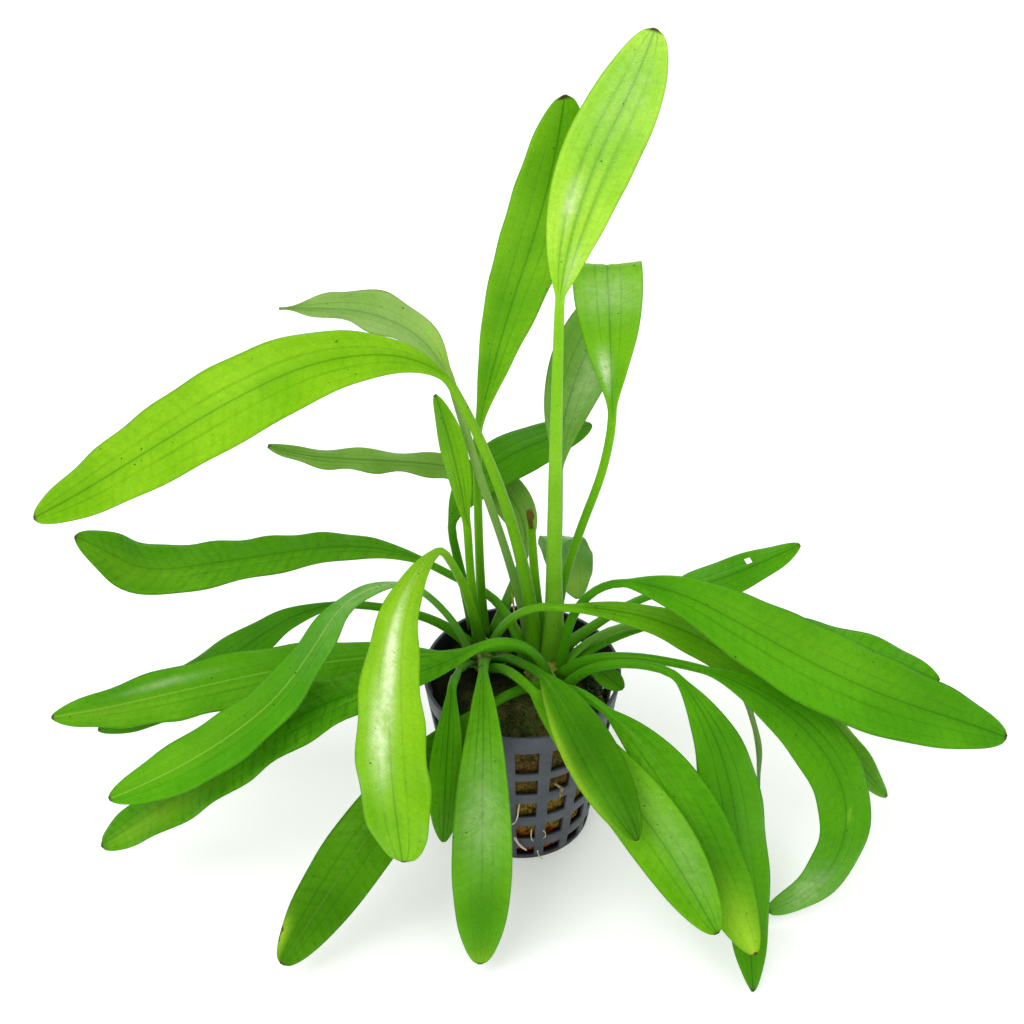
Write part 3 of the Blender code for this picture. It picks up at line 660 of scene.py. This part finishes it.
def wool_material():
    """Wet mineral wool: olive, brown and mossy on top, ochre and then red lower down.

    Only the front of the mound is pale. Behind it and beside it the top has painted shade, nearly
    black.
    """
    g = Graph("mineral_wool", roughness=0.95, specular=0.12)
    x, y, height = g.position()

    def reaches(value, name):
        """0 at the start of that span, 1 at its end and beyond."""
        start, end = WOOL_SPANS[name]
        return g.span(value, start * MM, end * MM)

    blotch = g.noise(260, 5, 0.65)
    fibres = g.noise(900, 4, 0.7, 1.5, stretch=(1, 1, 0.45))
    moss = g.noise(150, 3, 0.6)
    level = g.plus(height, g.times(g.minus(blotch, 0.5), LEVEL_WANDER * MM))
    g.colour = g.mix(g.span(blotch, 0.4, 0.6), WOOL["olive"], WOOL["straw"])
    g.paint(WOOL["moss"], g.span(moss, 0.46, 0.58), 0.7)
    place, reach = SOIL_PLACE * MM, SOIL_REACH * MM
    soil = g.times(g.line(x, place, reach), g.line(y, place, reach))
    ragged = g.times(g.minus(moss, 0.5), FRONT_WANDER * MM)
    front = g.times(reaches(g.plus(y, ragged), "front"), reaches(x, "not at the left"))
    lit = g.math("MAXIMUM", front, reaches(height, "under the rim"))
    lit = g.math("MAXIMUM", lit, soil)
    g.paint(WOOL["soil"], soil)
    # Painted shade: away from the front, the lower wall and the soil, the top is darkened nearly to
    # black.
    black = g.mix(1.0, g.mix(0.5, g.colour, WOOL["shade tone"]), WOOL["shade"], "MULTIPLY")
    g.colour = g.mix(lit, black, g.colour)
    rust = g.span(g.noise(330, 3, 0.6), 0.40, 0.55)
    g.paint(WOOL["rust"], rust, reaches(height, "rust"), 0.85)

    ochre = g.mix(g.span(fibres, 0.35, 0.65), WOOL["deep ochre"], WOOL["ochre"])
    ember = g.mix(reaches(level, "ember"), WOOL["deep ember"], WOOL["ember"])
    red = g.mix(g.span(fibres, 0.4, 0.6), WOOL["red"], ember)
    g.colour = g.mix(reaches(level, "top"), ochre, g.colour)
    g.paint(red, reaches(level, "red"))
    # Painted shade: the lowest bit of the wool, where it meets the pot's floor, is darkened nearly to
    # black.
    g.paint(WOOL["foot"], reaches(height, "foot"))
    threads = g.times(g.span(fibres, 0.62, 0.72), g.span(blotch, 0.4, 0.6))
    g.paint(WOOL["thread"], threads, lit, 0.3)
    # Painted shade: the hollows between the fibres, where the bumps are lowest, are darkened.
    g.paint(WOOL["pit"], g.span(fibres, 0.46, 0.36), 0.8)
    return g.finish(g.plus(fibres, blotch), 0.0016, 1.0)


def plain_material(name):
    """Two tones mixed by noise, with a little bump, for roots, stems and dry bits."""
    light, deep, scale, roughness, stretch = PLAIN[name]
    g = Graph(name, roughness=roughness, specular=0.3)
    mottle = g.noise(scale, 4, 0.6, stretch=stretch)
    g.colour = g.mix(g.span(mottle, 0.35, 0.65), deep, light)
    return g.finish(mottle, 0.0003, 0.7)


def floor_material():
    """A pale studio floor with the faintest variation, a little brighter than its light makes it."""
    g = Graph("studio_floor", roughness=0.8, specular=0.2)
    g.shader.inputs["Emission Color"].default_value = (1, 1, 1, 1)
    g.shader.inputs["Emission Strength"].default_value = FLOOR_GLOW
    g.colour = g.mix(g.noise(3, 2), *FLOOR_TONES)
    return g.finish()


def add_object(name, data):
    made = bpy.data.objects.new(name, data)
    bpy.context.scene.collection.objects.link(made)
    return made


def add_mesh(name, points, faces, materials, slots=None, smooth=True):
    """A mesh object from points in millimetres."""
    mesh = bpy.data.meshes.new(name)
    mesh.from_pydata((np.asarray(points, float) * MM).tolist(), [], faces)
    for each in materials:
        mesh.materials.append(each)
    if slots is not None:
        mesh.polygons.foreach_set("material_index", slots)
    mesh.polygons.foreach_set("use_smooth", [smooth] * len(mesh.polygons))
    mesh.update()
    return add_object(name, mesh)


def stand_for(piece, node):
    """The piece joins the root body and takes the place of that solid, which is hidden."""
    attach(piece, "root")
    if node:
        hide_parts(node)
    return piece


def band_faces(base, around, bands):
    """Quads between rings of points that follow each other from base on."""
    faces = []
    for low in range(base, base + bands * around, around):
        for step in range(around):
            after = (step + 1) % around
            faces.append([low + step, low + after, low + around + after, low + around + step])
    return faces


def tube_faces(base, around, rings):
    """The bands between those rings and a face over either end."""
    first = list(range(base, base + around))
    last = [point + (rings - 1) * around for point in first]
    return band_faces(base, around, rings - 1) + [first[::-1], last]


def unit(vectors):
    vectors = np.asarray(vectors, float)
    return vectors / np.linalg.norm(vectors, axis=-1, keepdims=True)


def heading(bearing, rise):
    """The unit vector of a bearing and a rise in degrees."""
    b, r = math.radians(bearing), math.radians(rise)
    return np.array([math.cos(b) * math.cos(r), math.sin(b) * math.cos(r), math.sin(r)])


def columns_at(places, known, values):
    """The values' columns at those places, between the places where they are known."""
    return np.column_stack([np.interp(places, known, column) for column in values.T])


def turning(length, headings):
    """Directions every FINE_STEP along a line that turns evenly from heading to heading."""
    keys = np.array([heading(*each) for each in headings])
    count = round(length / FINE_STEP)
    middles = (np.arange(count) + 0.5) / count
    return unit(columns_at(middles, np.linspace(0, 1, len(keys)), keys)) * length / count


def midrib(root, stalk, blade):
    """Distances, points and directions along stalk and blade, with the bend between them eased.

    The line starts a little below the root, so that the stalk comes out of the crown.
    """
    strides = turning(*stalk)
    if blade:
        strides = np.vstack([strides, turning(*blade)])
    start = unit(strides[0])
    strides = np.vstack([np.tile(start * FINE_STEP, (round(SUNK / FINE_STEP), 1)), strides])
    reach = round(SOFTEN / FINE_STEP / 2)
    padded = np.vstack([np.tile(strides[0], (reach, 1)), strides, np.tile(strides[-1], (reach, 1))])
    window = np.ones(2 * reach + 1) / (2 * reach + 1)
    eased = np.column_stack([np.convolve(padded[:, axis], window, "valid") for axis in range(3)])
    eased = unit(eased) * np.linalg.norm(strides, axis=1)[:, None]
    origin = np.array(root, float) - start * SUNK
    points = np.vstack([origin, origin + np.cumsum(eased, axis=0)])
    ways = unit(np.vstack([eased[:1], (eased[1:] + eased[:-1]) / 2, eased[-1:]]))
    places = np.concatenate([[0], np.cumsum(np.linalg.norm(eased, axis=1))]) - SUNK
    return places, points, ways


def ring_places(foot, full, end):
    """Distances of a leaf's rings, a few along the stalk and more along the blade."""
    count = max(FEWEST_RINGS, round((foot + SUNK) / STALK_STEP))
    places = np.linspace(-SUNK, foot, count, endpoint=not full)
    if full:
        even = np.linspace(0, 1, BLADE_RINGS)
        crowded_at_ends = (1 - np.cos(np.pi * even)) / 2
        places = np.concatenate([places, foot + full * (even + crowded_at_ends) / 2])
    return np.minimum(places, end)


def outline(share, widest, neck, tip, waist):
    """The blade's width at a share of its length, as a share of its greatest width."""
    rising = np.sin(np.pi / 2 * np.clip(share / widest, 0, 1)) ** neck
    falling = np.clip(np.cos(np.pi / 2 * np.clip((share - widest) / (1 - widest), 0, 1)), 0, 1) ** tip
    full = np.where(share < widest, rising, falling)
    return full * (1 - waist * np.exp(-((share - WAIST_PLACE) / WAIST_REACH) ** 2))


def easy(value, low, high):
    """0 below low, 1 above high, and smooth between them."""
    t = np.clip((value - low) / (high - low), 0, 1)
    return t * t * (3 - 2 * t)


def leaf_heights(at, share, half, stout, cup, wave, rng):
    """Heights of the upper and the under side over the midrib, across every ring.

    A place across a ring runs from -1 at one edge to 1 at the other.
    """
    u = np.linspace(-1, 1, ACROSS)[None, :]
    x = u * half[:, None]
    paces, shifts = rng.uniform(*WAVE_PACES, 2), rng.uniform(0, 2 * np.pi, 2)
    phase = at[:, None] * 2 * np.pi / (np.mean(paces) * WAVE_LENGTH)
    left, right = [np.sin(phase * pace + shift) for pace, shift in zip(paces, shifts)]
    calm = (easy(share, *WAVES_START) * (1 - WAVES_SETTLE * easy(share, *WAVES_END)))[:, None]
    waves = wave * calm * np.where(u < 0, left, right) * np.abs(u) ** WAVE_POWER
    flat = easy(share, 0.0, FLATTENS_BY)[:, None]
    lift = cup * np.maximum(0.0, half - STALK_WIDTH / 2)
    bed = lift[:, None] * np.abs(u) ** CUP_POWER + waves * flat
    rib = RIB_THICK * (1 - RIB_THINS * share)[:, None] * np.exp(-(x / RIB_REACH) ** 2)
    groove = GROOVE * np.exp(-(x / GROOVE_REACH) ** 2)
    for vein in VEINS:
        groove = groove + VEIN_GROOVE * np.exp(-((np.abs(u) - vein) / VEIN_REACH) ** 2)
    round_half = STALK_THICK / 2 * stout[:, None] * np.sqrt(1 - STALK_EDGE * u ** 2)
    top = bed + flat * (EDGE_THICK / 2 - groove + RIB_ABOVE * rib) + (1 - flat) * round_half
    low = bed - flat * (EDGE_THICK / 2 + (1 - RIB_ABOVE) * rib) - (1 - flat) * round_half
    return top, low


def cut_hole(hole, share, kept):
    """Marks the quads of a hole through the blade as not kept, and returns the hole's walls."""
    middle, side, rows, columns = hole
    first = int(np.argmin(np.abs(share - middle)))
    left = round((side + 1) / 2 * (ACROSS - 1))
    far_left = AROUND - 1 - left
    kept[first:first + rows, left:left + columns] = False
    kept[first:first + rows, far_left - columns:far_left] = False
    loop = [(first + i, left) for i in range(rows)]
    loop += [(first + rows, left + i) for i in range(columns)]
    loop += [(first + rows - i, left + columns) for i in range(rows)]
    loop += [(first, left + columns - i) for i in range(columns)]
    pairs = [(ring * AROUND + step, ring * AROUND + AROUND - 1 - step) for ring, step in loop]
    walls = []
    for here, there in zip(pairs, pairs[1:] + pairs[:1]):
        walls.append([here[0], there[0], there[1], here[1]])
    return walls


def leaf_faces(share, hole):
    """A leaf's faces and which material each takes, 0 on the upper side and 1 on the under side."""
    bands = len(share) - 1
    here = np.arange(bands)[:, None] * AROUND + np.arange(AROUND)[None, :]
    after = np.arange(bands)[:, None] * AROUND + (np.arange(AROUND)[None, :] + 1) % AROUND
    quads = np.stack([after, here, here + AROUND, after + AROUND], axis=-1)
    slots = np.tile(np.where(np.arange(AROUND) < ACROSS - 1, 0, 1), (bands, 1))
    kept = np.ones(slots.shape, bool)
    walls = cut_hole(hole, share, kept) if hole else []
    first = list(range(AROUND))
    last = [bands * AROUND + step for step in reversed(first)]
    slots = np.concatenate([slots[kept], np.ones(len(walls)), [0, 0]]).astype(int)
    return quads[kept].tolist() + walls + [first, last], slots.tolist()


def marks_at(marks, along, across):
    """Four strengths, one for each kind of mark, at every point."""
    strengths = np.zeros((*along.shape, len(MARK_KINDS)))
    for kind, middle, side, reach, spread, strength in marks:
        away = ((along - middle) / reach) ** 2 + ((across - side) / spread) ** 2
        index = MARK_KINDS.index(kind)
        strengths[..., index] = np.maximum(strengths[..., index], strength * np.exp(-away))
    return strengths


def layer_leaf(piece, at, along, half, light, deep, marks):
    """What the leaf's materials read.

    Place says where a point is across and along the leaf, and Size says the same in millimetres.
    Light and Deep are its two greens, with how pale its midrib and how plain its cross veins are.
    Marks has a strength for each kind of mark.
    """
    u = np.linspace(-1, 1, ACROSS)
    across = np.tile(np.concatenate([u, u[::-1]]), (len(at), 1))
    along = np.repeat(along[:, None], AROUND, axis=1)
    distance = np.repeat(at[:, None], AROUND, axis=1)
    corners = np.array([loop.vertex_index for loop in piece.data.loops])
    for name, first, second in (("Place", across, along), ("Size", across * half[:, None], distance)):
        pairs = np.stack([first, second], axis=-1).reshape(-1, 2)[corners]
        made = piece.data.uv_layers.new(name=name)
        made.data.foreach_set("uv", pairs.astype(np.float32).reshape(-1))
    every = (along.size, 1)
    for name, values in (("Light", np.tile(light, every)), ("Deep", np.tile(deep, every)),
                         ("Marks", marks_at(marks, along, across))):
        made = piece.data.color_attributes.new(name, "FLOAT_COLOR", "POINT")
        made.data.foreach_set("color", values.astype(np.float32).reshape(-1))


def make_leaf(name, order, root, stalk, blade, face, tone, wave, cup=-0.1, width=0.0, face_end=None,
              widest=0.6, neck=1.0, tip=0.55, waist=0.0, turn=(0.0, 1.0), girth=1.0,
              rib=0.0, rungs=0.0, marks=(), hole=None):
    """One leaf: rings of points round the midrib, closed at the root and the tip."""
    foot = stalk[0]
    places, line, directions = midrib(root, stalk, blade)
    at = ring_places(foot, blade[0] if blade else 0.0, places[-1])
    share = np.clip((at - foot) / blade[0], 0, 1) if blade else np.zeros(len(at))
    centres = columns_at(at, places, line)
    ways = unit(columns_at(at, places, directions))
    turned = np.clip((share - turn[0]) / (turn[1] - turn[0]), 0, 1)[:, None]
    looks = unit(face) * (1 - turned) + unit(face_end or face) * turned
    up = unit(looks - ways * np.sum(looks * ways, axis=1)[:, None])
    side = np.cross(up, ways)

    stout = girth + (1 - girth) * np.clip(at / foot, 0, 1)
    slim = (STALK_WIDTH * (1 - share) + TIP_WIDTH * share) / 2
    slim = slim * stout * (1 + SHEATH * np.exp(-(at + SUNK) / SHEATH_REACH))
    broad = width / 2 * outline(share, widest, neck, tip, waist) * (share > 0)
    # The greater of the two, with a smooth change from one to the other.
    half = (slim ** 3 + broad ** 3) ** (1 / 3)
    rng = np.random.default_rng(order)
    top, low = leaf_heights(at, share, half, stout, cup, wave, rng)
    x = np.linspace(-1, 1, ACROSS)[None, :] * half[:, None]
    arms = centres[:, None, :] + x[..., None] * side[:, None, :]
    above = arms + top[..., None] * up[:, None, :]
    below = arms + low[..., None] * up[:, None, :]
    points = np.concatenate([above, below[:, ::-1]], axis=1).reshape(-1, 3)

    faces, slots = leaf_faces(share, hole)
    piece = add_mesh(name + "_grown", points, faces, LEAF_MATERIALS, slots)
    along = np.where(at < foot, (at - foot) / foot, share)
    light, deep = np.array(TONES[tone]) * rng.uniform(*WARMTH, 3)
    layer_leaf(piece, at, along, half, [*light, rib], [*deep, rungs], marks)
    return stand_for(piece, name)


def pot_stations():
    """Pairs of an outer and an inner (radius, height) down the wall and in along the floor.

    The third value says whether the band that starts there has the pot's holes.
    """
    stations = [((RIM_RADIUS, POT_HEIGHT), (RIM_RADIUS - WALL, POT_HEIGHT), False)]
    for top, bottom in HOLE_ROWS:
        for height, holes in ((top, True), (bottom, False)):
            radius = BASE_RADIUS + SLOPE * height
            stations.append(((radius, height), (radius - WALL, height), holes))
    stations.append(((BASE_RADIUS, 0), (BASE_RADIUS - 2 * WALL, FLOOR), False))
    stations.append(((FLOOR_RING, 0), (FLOOR_RING, FLOOR), True))
    stations.append(((FLOOR_DISC, 0), (FLOOR_DISC, FLOOR), False))
    return stations


def pot_angles():
    """Angles round the pot, in equal steps over each hole and over each strip beside it."""
    pitch = 360 / COLUMNS
    angles = []
    for column in range(COLUMNS):
        hole = FIRST_HOLE + column * pitch
        for start, width in ((hole, HOLE_SPAN), (hole + HOLE_SPAN, pitch - HOLE_SPAN)):
            angles += [math.radians(start + width * i / STRIP_STEPS) for i in range(STRIP_STEPS)]
    return angles


def make_pot(material):
    """The pot's bands of cells as in the part's source, in finer steps and with rounded edges."""
    stations, angles = pot_stations(), pot_angles()
    around, last = len(angles), len(stations) - 1
    points, faces = [], []
    for outer, inner, _ in stations:
        for radius, height in (outer, inner):
            points += [(radius * math.sin(a), -radius * math.cos(a), height) for a in angles]

    def at(station, part, step):
        """A point's number. Part 0 is the outer side of the wall and part 1 the inner."""
        return (2 * station + part) * around + step % around

    def is_open(band, step):
        inside = 0 <= band < last
        return not inside or (stations[band][2] and (step // STRIP_STEPS) % 2 == 0)

    def add_face(*corners):
        faces.append([at(*corner) for corner in corners])

    for high in range(last):
        low = high + 1
        for step in range(around):
            if is_open(high, step):
                continue
            after = step + 1
            add_face((low, 0, step), (low, 0, after), (high, 0, after), (high, 0, step))
            add_face((high, 1, step), (high, 1, after), (low, 1, after), (low, 1, step))
            if is_open(high - 1, step):
                add_face((high, 0, step), (high, 0, after), (high, 1, after), (high, 1, step))
            if is_open(low, step) and low < last:
                add_face((low, 1, step), (low, 1, after), (low, 0, after), (low, 0, step))
            if is_open(high, step - 1):
                add_face((high, 0, step), (high, 1, step), (low, 1, step), (low, 0, step))
            if is_open(high, after):
                add_face((low, 0, after), (low, 1, after), (high, 1, after), (high, 0, after))
    add_face(*[(last, 0, step) for step in reversed(range(around))])
    add_face(*[(last, 1, step) for step in range(around)])
    pot = add_mesh("net_pot_moulded", points, faces, [material])
    bevel = pot.modifiers.new("edges", "BEVEL")
    bevel.width = POT_BEVEL * MM
    bevel.segments = 2
    bevel.limit_method = "ANGLE"
    bevel.angle_limit = math.radians(BEVEL_ANGLE)
    return stand_for(pot, "net_pot")


def rough(x, y, z, size, seed):
    """Smooth noise from -1 to 1 whose lumps are about size millimetres across."""
    return noise.noise(Vector((x / size + seed, y / size, z / size)))


def make_medium(material):
    """Matted wool inside the pot: a lumpy wall seen through the holes, and a mound on top.

    At the right it stops short of the rim, so light comes through the wall's holes there.
    """
    around, up_steps, in_steps = WOOL_STEPS
    points = []
    for level in range(up_steps + in_steps):
        for step in range(around):
            angle = 2 * math.pi * step / around
            right, back = math.cos(angle), math.sin(angle)
            hollow = max(0.0, HOLLOW_WAY[0] * right + HOLLOW_WAY[1] * back) ** 3
            edge = MEDIUM_EDGE - HOLLOW_DEPTH * hollow
            if level < up_steps:
                z = MEDIUM_FOOT + (edge - MEDIUM_FOOT) * level / up_steps
                radius = BASE_RADIUS + SLOPE * z - WALL - WOOL_GAP
                for height, size, seed in WALL_LUMPS:
                    radius += height * rough(radius * right, radius * back, z, size, seed)
            else:
                share = (level - up_steps) / in_steps
                radius = (BASE_RADIUS + SLOPE * edge - WALL - WOOL_GAP) * (1 - share)
                climb = math.sin(math.pi / 2 * min(1.0, share * MOUND_RISE)) ** MOUND_POWER
                z = edge + (MEDIUM_TOP - edge) * climb
                for height, size, seed, at_edge in MOUND_LUMPS:
                    grown = min(1.0, at_edge + 4 * share)
                    z += height * rough(radius * right, radius * back, z, size, seed) * grown
                z = min(z, MEDIUM_TOP)
            points.append((radius * right, radius * back, z))
    faces = tube_faces(0, around, up_steps + in_steps)
    wool = add_mesh("growing_medium_matted", points, faces, [material])
    return stand_for(wool, "growing_medium")


def make_crown(name, centre):
    """A short stem stump, with folds from the feet of old stalks wrapped round it."""
    around, rings = CROWN_STEPS
    points = []
    for ring in range(rings):
        share = ring / (rings - 1)
        radius = CROWN_RADIUS * (1 - CROWN_TAPER * share ** 1.5)
        z = MEDIUM_TOP - CROWN_SUNK + (CROWN_SUNK + CROWN_HEIGHT + CROWN_OVER) * share
        for step in range(around):
            angle = 2 * math.pi * step / around
            away = radius * (1 + 0.07 * math.sin(7 * angle + 3 * share) + 0.04 * math.sin(13 * angle))
            points.append((centre[0] + away * math.cos(angle), centre[1] + away * math.sin(angle), z))
    faces = tube_faces(0, around, rings)
    stump = add_mesh(name + "_stump", points, faces, [PLAIN_MATERIALS["crown"]])
    return stand_for(stump, name)


def on_wall(turn, height, out):
    """A point at a turn from the front, a height and a reach out of the pot's wall."""
    radius = BASE_RADIUS + SLOPE * height + out
    angle = math.radians(turn)
    return radius * math.sin(angle), -radius * math.cos(angle), height


def rounded(points):
    """The line with its corners cut three times, so that it bends smoothly."""
    for _ in range(3):
        near, far = points[:-1], points[1:]
        inner = np.stack([0.75 * near + 0.25 * far, 0.25 * near + 0.75 * far], axis=1)
        points = np.vstack([points[:1], inner.reshape(-1, points.shape[1]), points[-1:]])
    return points


def make_tubes(name, tubes, tone, flat=1.0, sides=8):
    """Tapering, slightly uneven tubes along smooth lines, joined in one piece."""
    points, faces = [], []
    for size, line in tubes:
        line = rounded(np.array(line, float))
        ways = unit(np.gradient(line, axis=0))
        side = unit(np.cross(ways, NEARLY_UP))
        up = np.cross(side, ways)
        share = np.linspace(0, 1, len(line))
        wide = size * (1 - TUBE_TAPER * share ** 2) * (1 + 0.18 * np.sin(19 * share + 7 * size))
        faces += tube_faces(len(points), sides, len(line))
        for place, across, rise, half in zip(line, side, up, wide):
            for step in range(sides):
                angle = 2 * math.pi * step / sides
                points.append(place + half * (math.cos(angle) * across + flat * math.sin(angle) * rise))
    return stand_for(add_mesh(name, points, faces, [PLAIN_MATERIALS[tone]]), None)


def make_strands(name, spots, rng, reach, width, stand, tone):
    """Short three-sided tapering strands from their spots, each bent its own way."""
    points, faces = [], []
    for spot in spots:
        turn = rng.uniform(0, 2 * math.pi)
        way = np.array([math.cos(turn), math.sin(turn), stand * rng.uniform(*STRAND_RISES)])
        bend = rng.normal(0, STRAND_BEND, 3)
        length = reach * rng.uniform(*STRAND_LENGTHS)
        base = len(points)
        for share in (0, 1 / 3, 2 / 3):
            place = np.array(spot) + length * share * unit(way + bend * share)
            half = width * (1 - STRAND_TAPER * share)
            for step in range(3):
                angle = turn + 2 * math.pi * step / 3
                points.append(place + half * np.array([math.cos(angle), math.sin(angle), 0.4 * step]))
        points.append(np.array(spot) + length * unit(way + bend))
        tip = len(points) - 1
        faces += band_faces(base, 3, 2)
        faces += [[tip - 3 + step, tip - 3 + (step + 1) % 3, tip] for step in range(3)]
        faces.append([base + 2, base + 1, base])
    return stand_for(add_mesh(name, points, faces, [PLAIN_MATERIALS[tone]]), None)


def scattered(rng, count, turns, distances, height):
    """Points at random turns and distances from the pot's middle, each with its height."""
    spots = []
    for _ in range(count):
        turn, away = rng.uniform(*turns), rng.uniform(*distances)
        spots.append((away * math.cos(turn), away * math.sin(turn), height(away)))
    return spots


def mound_height(away):
    """About how high the wool's mound is at that distance from the middle."""
    drop = max(0.0, (away - MOUND_FLAT) / MOUND_SHOULDER) ** 1.5
    return MEDIUM_TOP - FIBRE_SUNK - MOUND_DROP * drop


def make_litter():
    """Roots through the slots, loose dead bits, moss at the right and matted fibres in front."""
    for name, roots, tone in (("roots_white", WHITE_ROOTS, "root_white"),
                              ("roots_brown", BROWN_ROOTS, "root_brown")):
        lines = [(size, [on_wall(*point) for point in line]) for size, line in roots]
        make_tubes(name, lines, tone)
    make_tubes("roots_loose", LOOSE_ROOTS, "root_white")
    make_tubes("stalk_dead_brown", DRY_BITS, "stalk_dead", flat=0.5)
    make_tubes("sheath_withered_yellow", YELLOW_BITS, "sheath_withered", flat=0.4)
    rng = np.random.default_rng(LITTER_SEED)
    spots = scattered(rng, *MOSS_SPOTS, lambda away: rng.uniform(*MOSS_HEIGHTS))
    make_strands("moss_right", spots, rng, *MOSS_STRANDS, "moss")
    spots = scattered(rng, *FIBRE_SPOTS, mound_height)
    make_strands("wool_fibres_front", spots, rng, *FIBRE_STRANDS, "wool_fibres")


def add_camera():
    rise = math.radians(VIEW_RISE)
    rim = Vector((0, 0, POT_HEIGHT))
    place = rim + VIEW_DISTANCE * Vector((0, -math.cos(rise), math.sin(rise)))
    data = bpy.data.cameras.new("camera")
    data.sensor_width = SENSOR
    data.lens = SENSOR * FOCAL_PIXELS / PHOTO_SIDE
    data.clip_end = VIEW_END * MM
    camera = add_object("camera", data)
    camera.location = place * MM
    tilt = math.pi / 2 - rise + math.radians(VIEW_TILT_UP)
    camera.rotation_euler = (tilt, 0, math.radians(VIEW_TURN) / math.cos(rise))
    bpy.context.scene.camera = camera


def add_lights():
    world = bpy.data.worlds.new("sky")
    world.use_nodes = True
    world.node_tree.nodes["Background"].inputs[0].default_value = (1, 1, 1, 1)
    world.node_tree.nodes["Background"].inputs[1].default_value = SKY
    bpy.context.scene.world = world
    for name, (place, side, power) in LAMPS.items():
        data = bpy.data.lights.new(name, "AREA")
        data.size = side
        data.energy = power
        lamp = add_object(name, data)
        lamp.location = place
        lamp.rotation_euler = (Vector(LAMPS_AIM) - Vector(place)).to_track_quat("-Z", "Y").to_euler()


def add_floor():
    half = FLOOR_SIDE / 2
    corners = [(-half, -half, 0), (half, -half, 0), (half, half, 0), (-half, half, 0)]
    floor = add_mesh("floor", corners, [[0, 1, 2, 3]], [floor_material()], smooth=False)


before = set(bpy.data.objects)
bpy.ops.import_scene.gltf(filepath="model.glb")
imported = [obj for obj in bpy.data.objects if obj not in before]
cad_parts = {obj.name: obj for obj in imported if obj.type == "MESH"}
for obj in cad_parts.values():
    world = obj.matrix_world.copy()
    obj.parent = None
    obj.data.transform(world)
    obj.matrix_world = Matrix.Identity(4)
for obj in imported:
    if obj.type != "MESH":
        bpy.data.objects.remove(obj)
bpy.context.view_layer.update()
bpy.context.scene.view_settings.view_transform = "Standard"
LEAF_MATERIALS = [leaf_material("leaf_upper", True), leaf_material("leaf_under", False)]
PLAIN_MATERIALS = {name: plain_material(name) for name in PLAIN}

add_camera()
add_lights()
add_floor()
make_pot(pot_material())
make_medium(wool_material())
for crown, centre in CROWNS.items():
    make_crown(crown, centre)
make_litter()
for order, (leaf, shape) in enumerate(LEAVES.items()):
    make_leaf(leaf, order, **shape)
